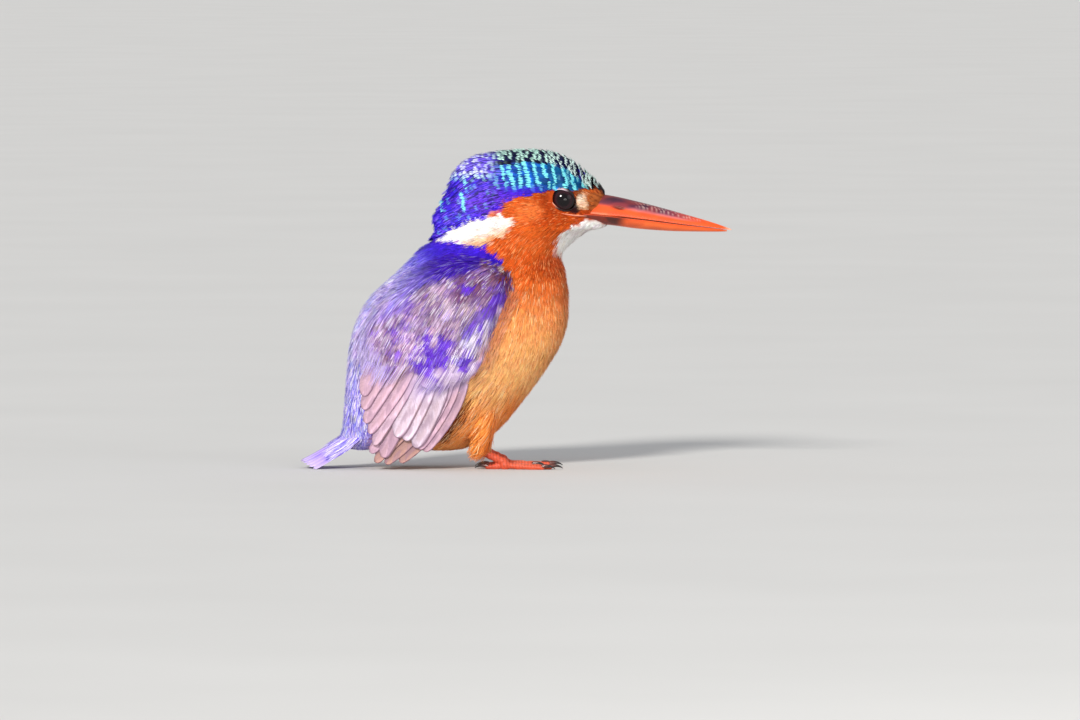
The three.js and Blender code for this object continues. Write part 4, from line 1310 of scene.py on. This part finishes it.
LONG_SCAPULARS = [
    ((-17.0, 38.5), (-21.5, 32.2), (-26.4, 26.6), 3.8, PINKISH),
    ((-18.5, 39.5), (-24.0, 31.6), (-29.8, 24.2), 4.0, LILAC),
    ((-20.5, 40.5), (-27.0, 31.8), (-33.4, 21.6), 4.4, PINKISH),
    ((-22.5, 43.0), (-30.5, 33.8), (-36.4, 20.9), 4.2, LILAC),
    ((-27.5, 42.0), (-34.0, 34.6), (-38.8, 23.4), 3.8, PINKISH),
    ((-30.5, 42.0), (-36.6, 35.4), (-40.0, 27.2), 3.2, LILAC),
]


def blade_set(table, layer, step, dome, tilt, recolour, edge_share, oblique=0.35, cut=1.0, row=0.05):
    """Long feathers of one row of the wing, each lying a little over the one before it.

    cut keeps a share of the way from bend to tip, and row is the height on the bake map.
    """
    made = []
    for i, (root, bend, tip, width, base) in enumerate(table):
        tip = mix(np.array(bend), np.array(tip), cut)
        grid, t, u = blade_grid((root, bend, tip), width, oblique)
        points = laid_on_wing(grid, u, t, layer + step * i, dome, tilt)
        shade = linear(base) * rng.uniform(0.84, 1.04)
        colours = flight_colour(t, u, shade, EDGE_BROWN, SHAFT_BROWN, 1.0, edge_share)
        made.append((points, recolour(colours, points), t, u, (0.03 + 0.12 * i, row, 0.1, 0.42)))
    return made


def wing_axes(points, ahead, up):
    """Places along and across the way the wing's feathers lie, for patterns drawn along it."""
    x, _, z = axes(points)
    return ahead * x + up * z, up * x - ahead * z


def flight_tints(colours, points):
    """Dusky worn patches down the vanes, and a blue-violet cast up by the coverts."""
    x, _, z = axes(points)
    along, across = wing_axes(points, 0.5, 0.87)
    worn = mottled(across * 1.6, along * 0.4, 1.5, 83)
    return layered(
        colours,
        ((150, 118, 138), 0.5 * smooth(worn, 0.5, 0.85)),
        ((176, 138, 140), 0.3 * smooth(worn, 0.35, 0.1)),
        ((180, 164, 226), 0.4 * smooth(z - 0.25 * (x + 20), 17, 22) * smooth(x, -30, -24)),
    )


def covert_tints(colours, points):
    """The vanes under the soft fringes take the fringes' own colours."""
    return mix(colours, covert_colour(points), 0.75)


def scapular_tints(colours, points):
    return mix(colours, scapular_colour(points), 0.8)


def blotches(x, z, colour, share, *places):
    """Layers of patches of one colour with broken edges; each place is X, Z and a radius."""
    made = []
    for px, pz, radius in places:
        broken = 0.9 * radius * (mottled(0.8 * x + 0.6 * z, 0.3 * z - 0.4 * x, 1.5, 43) - 0.5)
        made.append((colour, share * smooth(np.hypot(x - px, z - pz) + broken, radius, radius * 0.65)))
    return made


def covert_colour(points):
    """The greater coverts: silvery lilac with violet patches."""
    x, _, z = axes(points)
    places = ((-22.6, 26.0, 3.0), (-13.6, 26.6, 2.0), (-11.8, 29.6, 1.6), (-20.2, 29.4, 3.6))
    return layered(
        (164, 132, 186),
        ((206, 184, 210), mottled(x + 0.5 * z, z - 0.5 * x, 2.2, 3)),
        ((164, 142, 220), 0.7 * spot(x, z, (-22, 20.6), 2.6, 0.8, wide=1.6)),
        ((222, 202, 230), 0.55 * spot(x, z, (-16.6, 24.2), 2.4, 1.0, wide=1.3)),
        *blotches(x, z, (112, 54, 214), 0.92, *places),
    )


def scapular_colour(points):
    """The long scapulars: mauve, with hair-thin lines of violet and lavender down their length."""
    x, _, z = axes(points)
    along, across = wing_axes(points, 0.62, 0.78)
    lines = mottled(across * 2.4, along * 0.22, 1.3, 17)
    return layered(
        (146, 104, 156),
        ((198, 160, 192), mottled(across, along * 0.5, 2.6, 11)),
        ((112, 62, 206), 0.75 * smooth(lines, 0.72, 0.86) * smooth(x, -21, -25)),
        ((228, 208, 240), 0.6 * smooth(lines, 0.30, 0.16)),
        ((176, 128, 160), 0.6 * smooth(z, 28, 22)),
        ((128, 78, 176), 0.85 * spot(x, z, (-33.2, 24.6), 2.8, 1.0)),
        *blotches(x, z, (104, 48, 210), 0.9, (-21.4, 29.0, 4.0)),
        ((206, 190, 246), smooth(x + 0.4 * (z - 34), -34.5, -38.5) * 0.85),
    )


def fringed(name, table, layer, step, colour_at, side):
    """Soft barbed feathers over a row of wing feathers, several narrow ones to each."""
    lines, widths, layers = [], [], []
    parts, steps, barbs = 5, 9, 9
    t = mix(0.22, 1.0, np.linspace(0, 1, steps))
    for i, (root, bend, tip, width, _) in enumerate(table):
        root, bend, tip = np.array(root), np.array(bend), np.array(tip)
        way = unit(tip - root)
        for k in range(parts):
            share = (k - (parts - 1) / 2) / parts
            shift = np.array([-way[1], way[0]]) * width * share * 0.95
            back = way * (0.25 * width * (2 * share) ** 2 + rng.uniform(-0.5, 1.3))
            lines.append(bezier(root + shift * 0.7, bend + shift, tip + shift * 0.9 - back, t))
            widths.append(width / parts * 2.1)
            layers.append(layer + step * i + rng.uniform(0, 0.1))
    x, z = np.moveaxis(np.stack(lines), -1, 0)
    lift = np.array(layers)[:, None] - (0.9 * smooth(t, 0.5, 0.2) + 0.5 * smooth(t, 0.6, 1.0))[None, :]
    wide = wing_side(x, z)
    spine = np.stack([x, side * (wide + lift * off_the_body(x, z)), z], -1)
    slope_x = (wing_side(x + 0.1, z) - wide) / 0.1
    slope_z = (wing_side(x, z + 0.1) - wide) / 0.1
    ups = unit(np.stack([-slope_x, np.full_like(x, side), -slope_z], -1))
    ways = unit(np.gradient(spine, axis=1))
    base = np.repeat(colour_at(spine)[:, :, None, :], barbs * 2, axis=2)
    value = barb_values(len(lines), barbs, 0.05, 0.09)
    chance = barb_chances(len(lines), barbs)
    base = np.where(chance < 0.16, mix(base, linear((238, 226, 246)), 0.55), base)
    base = np.where(chance > 0.86, mix(base, linear((108, 70, 170)), 0.55), base)
    colours = np.clip(base * value, 0, 1)
    s = np.linspace(0, 1, steps)
    tufts(name, WING_VANES, (spine, ups, ways), widths, s, barbs, FRINGE_STYLE, colours)


def wing_feathers(word, side):
    """One wing from the lowest layer up; each set's layer, step, dome and tilt are in millimetres."""
    primaries = blade_set(PRIMARIES, 0.4, 0.10, 0.05, 0.05, flight_tints, 0.85)
    feather_mesh(f"primaries_{word}", side, primaries, (f"wing_primaries_{word}",))
    secondaries = blade_set(SECONDARIES, 1.05, 0.13, 0.05, 0.06, flight_tints, 0.8, 0.6)
    feather_mesh(f"secondaries_{word}", side, secondaries, (f"wing_secondaries_{word}",))
    coverts = blade_set(GREATER_COVERTS, 2.0, 0.05, 0.1, -0.03, covert_tints, 0.12, 0.0, 0.6)
    coverts += blade_set(LONG_SCAPULARS, 2.3, 0.09, 0.2, -0.05, scapular_tints, 0.2, 0.2, 0.58, 0.53)
    feather_mesh(f"great_coverts_{word}", side, coverts)
    fringed(f"coat_coverts_{word}", GREATER_COVERTS, 2.2, 0.05, covert_colour, -side)
    fringed(f"coat_scapulars_{word}", LONG_SCAPULARS, 2.55, 0.09, scapular_colour, -side)


# ---- Small coverts ----

MANTLE = [
    (-24.0, 58.0), (-11.0, 57.5), (-8.4, 53.4), (-10.6, 49.8), (-17.0, 47.6), (-25.0, 44.8), (-31.0, 38.5),
    (-42.0, 33.0), (-41.0, 44.0), (-30.0, 54.0),
]
SHOULDER = [(-17.5, 52.0), (-6.5, 53.5), (-1.2, 49.0), (-2.0, 44.5), (-8.0, 41.5), (-15.5, 42.0)]
VIOLET_BLOTCHES = (
    (-20.4, 30.2, 4.2), (-23.6, 27.0, 2.6), (-13.4, 27.4, 2.2), (-12.6, 45.6, 1.8), (-5.2, 43.0, 1.6),
)


def beside_line(x, z, at, slope, scale):
    """Distance of places from a straight line through a point, in units of its scale."""
    return np.abs((z - at[1]) - slope * (x - at[0])) / scale


def wing_colour(points):
    """The small coverts' colour by place in side view."""
    x, _, z = axes(points)
    grain = rng.uniform(0, 1, x.shape)
    along, across = wing_axes(points, 0.5, 0.87)
    shoulder = smooth(inside(x, z, SHOULDER), -1.0, 1.2)
    dusky = layered((116, 60, 96), ((136, 92, 152), mottled(x, z, 2.2, 41)))
    wavy = beside_line(x, z, (-9.2, 38.4), 1.12, 1.5) + 0.8 * mottled(x, z, 2.0, 7)
    stripe = smooth(wavy, 2.5, 1.5) * smooth(x, -15.0, -13.4) * smooth(x, -3.2, -4.8)
    pale_row = smooth(beside_line(x, z, (-13.0, 30.6), 1.0, 1.41), 2.6, 1.4)
    pale_row = pale_row * smooth(x, -18, -16) * smooth(x, -6.5, -8.5)
    edge = smooth(beside_line(x, z, (-5.8, 34.6), 1.75, 2.0), 2.0, 1.0) * smooth(z, 45, 43)
    mantle = smooth(inside(x, z, MANTLE), -0.8, 0.8)
    outline = smooth(-x + 0.62 * (z - 48), 26.5, 31.5) * smooth(z, 24, 30) * (grain > 0.2)
    colour = layered(
        (140, 100, 148),
        ((212, 184, 212), mottled(across, along * 0.6, 2.4, 23)),
        ((196, 176, 176), 0.5 * smooth(mottled(x, z, 3.4, 31), 0.6, 0.9)),
    )
    colour = laid_over(colour, scapular_colour(points), 0.9 * smooth(x + 0.5 * (z - 38), -20, -25))
    colour = layered(
        laid_over(colour, dusky, 0.85 * shoulder),
        ((92, 40, 200), stripe * 0.8),
        *blotches(x, z, (104, 48, 210), 0.95, *VIOLET_BLOTCHES),
        ((238, 226, 248), pale_row * (grain > 0.35) * 0.9),
        ((112, 70, 214), pale_row * (grain < 0.3) * 0.85),
        ((232, 176, 176), edge * 0.8),
    )
    blue = layered((62, 20, 178), (SILVER_BLUE, smooth(x, -20, -34)))
    return layered(
        laid_over(colour, blue, mantle * mix(1.0, 0.6, smooth(z, 50, 38))),
        ((226, 212, 250), 0.75 * outline),
        ((84, 30, 74), spot(x, z, (-2.6, 47.4), 4.4, 1.4) * 0.8),
        ((250, 236, 204), spot(x, z, (-4.3, 49.8), 1.2, 0.8)),
    )


def small_coverts(word, side):
    """Soft barbed feathers over the shoulder, the scapulars and the middle of the wing."""
    roots, normals = scattered(0.92, wing_zone(side))
    x, _, z = axes(roots)
    keep = (z > 28.5) & ~((x < -24) & (z < 31))
    roots, normals, z = roots[keep], normals[keep], z[keep]
    lies = lie_at(roots, normals)
    length = mix(3.4, 6.2, smooth(z, 50, 36)) * rng.uniform(0.85, 1.15, len(roots))
    laid = draped(roots, normals, lies, length, 5)
    barbs = 9
    base = wing_colour(colour_places(laid[0], 0.7))
    plain = 1 - 0.7 * smooth(base[:, 2] / np.maximum(base[:, 0], 0.02), 2.2, 3.6)
    streaks = (
        ((236, 224, 246), 0.14, 0.6 * plain), ((112, 66, 206), 0.12, 0.6 * plain),
        ((88, 56, 96), 0.08, 0.5 * plain),
    )
    colours = own_shade(base, SOFT_STEPS, barbs, Shade(0.11, 0.07, 0.3, 0.04), streaks)
    on_shaft = np.repeat(np.arange(barbs) == barbs // 2, 2)[None, None, :, None]
    colours = np.where(on_shaft, mix(colours, linear((74, 46, 92)), 0.5), colours)
    width = mix(1.4, 1.8, smooth(z, 48, 34))
    tufts(f"coat_wing_{word}", WING_VANES, laid, width, SOFT_STEPS, barbs, WING_STYLE, colours)


for word, side in SIDES:
    wing_feathers(word, side)
for word, side in SIDES:
    small_coverts(word, side)


# ---- The tail ----

def tail_arch(across):
    """How far the fan drops towards its sides."""
    return TAIL["arch"] * (1 - np.cos(across * math.pi / 2.4))


def tail_feathers():
    """Twelve tail feathers in a closed fan, arched from side to side, the middle pair on top."""
    feathers = []
    t = np.linspace(0, 1, 36)
    u = np.linspace(-1, 1, 11)
    swell = np.clip(1 - (np.clip(t - 0.8, 0, 1) / 0.2) ** 2.2, 0, 1) ** 0.5
    half = mix(*TAIL["half_width"], t)[:, None]
    for i in range(TAIL["feathers"]):
        place = (i + 0.5) / TAIL["feathers"] * 2 - 1
        middle = bezier(*TAIL_LINE, t * (1 - TAIL["shortening"] * place * place / TAIL["length"]))
        way = unit(np.gradient(middle, axis=0))
        down = np.stack([-way[:, 2], 0 * t, way[:, 0]], -1)
        down = down * np.where(down[:, 2:] > 0, -1, 1)
        across = place + u[None, :] * 0.15 * swell[:, None]
        level = 0.1 + 0.5 * abs(place) - 0.08 * (1 - u[None, :] ** 2)
        drop = tail_arch(np.clip(across, -1, 1)) + level
        points = middle[:, None] + down[:, None] * drop[..., None]
        points = points + np.array([0, 1, 0]) * (half * across)[..., None]
        points[..., 2] = np.maximum(points[..., 2], 0.05)
        base = mix(linear((140, 116, 222)), linear((178, 152, 230)), rng.uniform(0, 1))
        colours = flight_colour(t, u, base, (240, 224, 240), (90, 80, 170), math.copysign(1, place))
        colours = layered(colours, ((222, 206, 236), 0.45 * smooth(t, 0.75, 1.0)[:, None]))
        feathers.append((points, colours, t, u, (0.03 + 0.078 * i, 0.05, 0.07, 0.8)))
    feather_mesh("tail_feathers", 1, feathers, ("tail",))


def tail_coverts():
    """Soft feathers that run from the rump down over the tail's root, on its top and both its sides."""
    steps, barbs = 6, 8
    spine, ups = [], []
    for row, start in enumerate(np.linspace(0.06, 0.42, 7)):
        for column in np.linspace(-1.06, 1.06, 19 + row % 2):
            begin = start + rng.uniform(-0.02, 0.02)
            t = np.linspace(begin, begin + rng.uniform(0.20, 0.27), steps)
            drop = tail_arch(min(abs(column), 1.05)) + 0.55 * abs(column)
            rise = mix(0.5, 0.15, np.linspace(0, 1, steps)) - drop + 1.2 * smooth(t, 0.34, 0.05)
            place = bezier(*TAIL_LINE, t) + np.stack([0 * t, mix(3.9, 6.0, t) * column, rise], -1)
            place[:, 2] = np.maximum(place[:, 2], 0.35)
            lean = math.sin(column * 1.2)
            spine.append(place)
            up = unit(np.array([-0.45 + 0.2 * abs(lean), lean, 1 - 0.35 * abs(lean)]))
            ups.append(np.tile(up, (steps, 1)))
    spine = np.stack(spine)
    ways = unit(np.gradient(spine, axis=1))
    ups = laid_flat(np.stack(ups), ways)
    s = np.linspace(0, 1, 5)
    base = mix(linear((150, 136, 240)), linear((212, 198, 248)), rng.uniform(0, 1, len(spine))[:, None])
    streaks = (((246, 240, 255), 0.2, 0.8), ((84, 50, 214), 0.18, 0.7))
    colours = own_shade(base, s, barbs, Shade(0.08, 0.08, 0.25, 0.03), streaks)
    tufts("coat_tail_root", TAIL_VANES, (spine, ups, ways), 1.5625, s, barbs, TAIL_STYLE, colours)


tail_feathers()
tail_coverts()


# ---- Bill ----

NOSTRIL = {"at": (24.9, 65.1), "slope": -0.16, "depth": 0.4}


def nostril(x, z, long, tall, core):
    """A slanting oval beside the culmen's root, from 1 at its core to 0 at its edge."""
    ahead = x - NOSTRIL["at"][0]
    above = z - NOSTRIL["at"][1] - NOSTRIL["slope"] * ahead
    return smooth(np.hypot(ahead / long, above / tall), 1.0, core)


def mandible_form(edge_at, end):
    """Rings of one mandible: a keeled half round on the line between the two."""
    steps, sides = 110, 44
    x = mix(BILL[0, 0], end, 1 - (1 - np.linspace(0, 1, steps)) ** 1.25)
    sign = np.sign(edge_at(x) - gape_at(x))
    flat = gape_at(x) + sign * 0.06
    depth = np.abs(edge_at(x) - flat)
    angle = np.linspace(0, math.pi, sides)
    across = np.sign(np.cos(angle)) * np.abs(np.cos(angle)) ** 1.1
    out = np.sin(angle) ** 1.1
    half = bill_half_at(x)[:, None] - 0.02
    if edge_at is culmen_at:
        pinch = 0.22 * smooth(x, 23, 17)[:, None] * smooth(out, 0.2, 0.55)[None, :]
        half = half * (1 - pinch) + 0.5 * smooth(x, 19.5, 16.0)[:, None] * (1 - out[None, :])
    else:
        half = half + 1.35 * smooth(x, 20.5, 15.5)[:, None]
    y = half * across[None, :]
    z = flat[:, None] + sign[:, None] * depth[:, None] * out[None, :]
    return np.stack([x[:, None] + 0 * y, y, z], -1)


def bill_colour(points):
    """Coral red, sooty along the ridge, with dark and pale lines beside the gape."""
    x, y, z = axes(points)
    above = z - gape_at(x)
    high = above / np.maximum(culmen_at(x) - gape_at(x), 0.2)
    low = -above / np.maximum(gape_at(x) - keel_at(x), 0.2)
    sooty = smooth(mottled(x * 0.35, z * 1.1 + 0.8 * y, 0.9, 29), 0.45, 0.75)
    fleck = smooth(mottled(x, z * 1.5 + 2.2 * y, 0.4, 5), 0.80, 0.92) * smooth(high, 0.5, 0.8)
    shaded = smooth(mottled(x * 0.5, z * 1.2, 1.6, 19), 0.3, 0.8) * smooth(x, 44, 30)
    sheen = smooth(np.abs(high - 0.5), 0.14, 0.04) * smooth(x, 25, 30) * smooth(x, 46, 38)
    chin = smooth(low, 0.02, 0.12) * smooth(low, 1.15, 0.8) * smooth(x + 1.6 * low, 28.4, 24.6)
    lip = smooth(above, 0.6, 0.2) * smooth(above, -0.1, 0.08) * smooth(x, 24, 20)
    return layered(
        (236, 84, 28),
        ((250, 118, 56), 0.6 * smooth(above, -0.1, -0.9) * smooth(x, 22, 30)),
        ((104, 46, 72), smooth(high, 0.40, 0.62) * smooth(x, 48, 36) * 0.95),
        ((64, 32, 52), 0.5 * smooth(high, 0.75, 1.0) * smooth(x, 40, 28)),
        ((70, 34, 58), 0.7 * sooty * smooth(high, 0.3, 0.7) * smooth(x, 46, 34)),
        ((50, 22, 44), 0.75 * smooth(high, 0.58, 0.85) * smooth(x, 42, 28)),
        ((214, 132, 140), 0.4 * sheen),
        ((240, 200, 190), 0.4 * fleck * smooth(x, 27, 32) * smooth(x, 48, 42)),
        # The nostril's slit is painted near black, as shade inside the opening.
        ((30, 14, 18), nostril(x, z, 2.0, 0.5, 0.5) * 0.9),
        ((60, 26, 34), 0.6 * smooth(high, 0.4, 0.9) * smooth(x, 26, 21)),
        ((48, 22, 22), chin * 0.94),
        ((242, 150, 118), 0.7 * lip),
        ((176, 58, 32), 0.30 * shaded),
        ((84, 26, 22), 0.85 * smooth(np.abs(above), 0.16, 0.06) * smooth(x, 23.5, 25.5)),
        ((246, 190, 160), 0.7 * smooth(x, 50.5, 52.9)),
    )


def make_bill():
    mandibles = (("bill_upper", culmen_at, BILL[-1, 0]), ("bill_lower", keel_at, LOWER_MANDIBLE_ENDS))
    for name, edge_at, end in mandibles:
        points, faces = closed_tube(mandible_form(edge_at, end))
        if edge_at is culmen_at:
            slit = nostril(points[:, 0], points[:, 2], 1.8, 0.4, 0.4)
            points[:, 1] -= np.sign(points[:, 1]) * NOSTRIL["depth"] * slit
        make_mesh(f"{name}_horn", points, faces, bill_material, bill_colour(points),
                  octahedral(points, *BILL_MAP), (name,))


make_bill()


# ---- Eyes and their lids ----

def make_gape(word, side):
    """The bare fleshy line from under the eye to the corner of the bill, pale on top with painted shade
    underneath.
    """
    t = np.linspace(0, 1, 40)
    line = bezier((10.4, 0, 63.9), (13.4, 0, 63.2), (17.4, 0, 63.2), t)
    starts = line * [1, 0, 1] + np.array([0, -side * 14.0, 0])
    path = [skin_tree.ray_cast(start, (0.0, float(side), 0.0))[0] for start in starts.tolist()]
    path = np.array(path) + np.array([0, -side * 0.2, 0])
    radius = 0.27 * np.sin(math.pi * (0.08 + 0.87 * t)) ** 0.7
    sides = 16
    points, faces = closed_tube(rod_points(path, radius, sides, 0.75))
    level = np.repeat(np.pad(line[:, 2], 1, mode="edge"), sides)
    # Pale salmon on the upper half; the darker lower half is painted shade.
    colour = layered((150, 60, 40), ((240, 150, 118), smooth(points[:, 2] - level, -0.3, 0.2)))
    make_mesh(f"gape_{word}", points, faces, lid_material, colour)


def make_eyeball(word, side):
    rings, sides = 40, 48
    theta = np.linspace(0.001, math.pi - 0.001, rings)[:, None]
    phi = np.linspace(0, 2 * math.pi, sides, endpoint=False)[None, :]
    ball = np.stack([np.sin(theta) * np.cos(phi), -np.cos(theta) + 0 * phi, np.sin(theta) * np.sin(phi)], -1)
    points = (ball * [1, side, 1] * EYE_RADIUS + EYE * [1, side, 1]).reshape(-1, 3)
    off_axis = np.arccos(np.clip(-ball[..., 1], -1, 1)).reshape(-1) * EYE_RADIUS
    colour = layered(
        (44, 16, 24),
        ((10, 5, 8), smooth(off_axis, 2.3, 1.3)),
        ((12, 7, 8), smooth(off_axis, 2.3, 2.7)),
    )
    faces = tube_faces(rings, sides)
    if side < 0:
        faces = faces[:, ::-1]
    make_mesh(f"eyeball_{word}", points, faces, eye_material, colour, None, (f"eye_{word}",))


def make_lid(number, grow, tube, sink, word, side):
    """A soft fold round the visible part of the eye, an oval that slants down to the bill."""
    steps, sides = 96, 14
    turn = np.linspace(0, 2 * math.pi, steps, endpoint=False)
    long_way = (EYE_OPENING["long"] + grow) * np.cos(turn)
    short_way = (EYE_OPENING["short"] + grow) * np.sin(turn)
    slant = EYE_OPENING["slant"]
    across = long_way * math.cos(slant) - short_way * math.sin(slant)
    rise = long_way * math.sin(slant) + short_way * math.cos(slant)
    far = np.minimum(np.hypot(across, rise), 3.25)
    depth = np.sqrt(EYE_RADIUS ** 2 - far ** 2) + 0.08 - sink
    heading = np.arctan2(rise, across)
    out = np.stack([np.cos(heading), 0 * turn, np.sin(heading)], -1)
    ring = np.linspace(0, 2 * math.pi, sides, endpoint=False)
    thick = (tube * (1 + 0.3 * np.cos(heading - 2.6)))[:, None]
    fold = np.stack([across, -depth, rise], -1)[:, None] + out[:, None] * (np.cos(ring) * thick)[..., None]
    fold = fold + np.array([0, -1.0, 0]) * (np.sin(ring) * thick)[..., None]
    ahead = np.roll(np.arange(steps * sides).reshape(steps, sides), -1, axis=0)
    here = np.arange(steps * sides).reshape(steps, sides)
    quads = np.stack([here, ahead, np.roll(ahead, -1, axis=1), np.roll(here, -1, axis=1)], -1).reshape(-1, 4)
    rear = smooth(np.cos(heading - 2.6), -0.1, 0.6)[:, None] + 0 * ring
    pale = layered((222, 196, 206), ((216, 140, 112), smooth(np.sin(heading), 0.3, -0.3)[:, None]))
    colours = laid_over(linear((34, 20, 22)), pale, rear * (1.0 - 0.4 * number))
    make_mesh(f"lid_{number}_{word}", fold * [1, side, 1] + EYE * [1, side, 1], quads, lid_material,
              colours)


for word, side in SIDES:
    make_gape(word, side)
for word, side in SIDES:
    make_eyeball(word, side)
    make_lid(0, 0.0, 0.13, 0.0, word, side)
    make_lid(1, 0.22, 0.17, 0.1, word, side)


# ---- Claws ----

def make_claw(toe, word, side):
    length, heading = TOES[toe]
    turn = math.radians(heading)
    ahead = np.array([math.cos(turn), math.sin(turn), 0])
    root = ANKLE + ahead * (length - CLAW["starts"]) + [0, 0, CLAW["root_height"]]
    bend = root + ahead * CLAW["bend"][0] + [0, 0, CLAW["bend"][1]]
    tip = root + ahead * CLAW["tip"][0]
    tip[2] = CLAW["tip"][1]
    t = np.linspace(0, 1, 24)
    sides = 16
    path = bezier(root, bend, tip, t) * [1, side, 1]
    points, faces = closed_tube(rod_points(path, mix(*CLAW["radius"], t ** 1.2), sides))
    shade = np.repeat(np.concatenate([[0], t, [1]]), sides)
    colour = layered((96, 44, 34), ((34, 22, 22), smooth(shade, 0.1, 0.6)))
    make_mesh(f"claw_{toe}_{word}_horn", points, faces, claw_material, colour, None,
              (f"claw_{toe}_{word}",))


for word, side in SIDES:
    for toe in TOES:
        make_claw(toe, word, side)


# ---- Floor, light and camera ----

def make_floor():
    size = 40.0
    corners = [(-size, -size, 0), (size, -size, 0), (size, size, 0), (-size, size, 0)]
    mesh = bpy.data.meshes.new("floor")
    mesh.from_pydata(corners, [], [(0, 1, 2, 3)])
    floor = bpy.data.objects.new("floor", mesh)
    bpy.context.scene.collection.objects.link(floor)
    material, tree, shader = new_material("floor", 0.9, specular=0.2)
    noise = add_node(tree, "ShaderNodeTexNoise", {"Scale": 900.0})
    ramp = add_node(tree, "ShaderNodeValToRGB")
    ramp.color_ramp.elements[0].color = (0.62, 0.617, 0.605, 1)
    ramp.color_ramp.elements[1].color = (0.67, 0.667, 0.655, 1)
    wire(tree, (noise, "Fac", ramp, "Fac"), (ramp, "Color", shader, "Base Color"))
    mesh.materials.append(material)


def aimed(name, data, place, aim):
    """A lamp or camera at a place in metres, turned to look at another."""
    thing = bpy.data.objects.new(name, data)
    thing.location = place
    thing.rotation_euler = (Vector(aim) - Vector(place)).to_track_quat("-Z", "Y").to_euler()
    bpy.context.scene.collection.objects.link(thing)
    return thing


def add_light(name, kind, place, aim, strength, colour, **shape):
    data = bpy.data.lights.new(name, kind)
    data.energy = strength
    data.color = colour
    for setting, value in shape.items():
        setattr(data, setting, value)
    aimed(name, data, place, aim)


def make_lights():
    middle = (0, 0, 0.035)
    add_light("key", "SUN", (-0.42, -0.95, 0.66), middle, 3.0, (1.0, 0.97, 0.92), angle=math.radians(12))
    add_light("fill", "AREA", (0.9, -0.7, 0.45), middle, 1.3, (0.95, 0.97, 1.0), shape="DISK", size=0.7)
    low = (0, 0, 0.02)
    add_light("low", "AREA", (0.30, -1.05, 0.05), low, 2.8, (1.0, 0.97, 0.93), shape="DISK", size=0.5)
    world = bpy.data.worlds.new("studio")
    world.use_nodes = True
    set_inputs(world.node_tree.nodes["Background"], {"Color": (0.94, 0.96, 1.0, 1), "Strength": 0.55})
    bpy.context.scene.world = world


def make_camera():
    """Looks at the bird's right side from a little above, from far off."""
    distance = 2.4
    elevation = math.radians(3.0)
    aim = Vector(to_frame([5.1, 0.0, 27.0]))
    data = bpy.data.cameras.new("camera")
    data.sensor_width = 36.0
    data.lens = 36.0 * distance / 0.270
    place = aim + Vector((0, -math.cos(elevation), math.sin(elevation))) * distance
    bpy.context.scene.camera = aimed("camera", data, place, aim)


make_floor()
make_lights()
make_camera()
bpy.context.scene.view_settings.view_transform = "Standard"
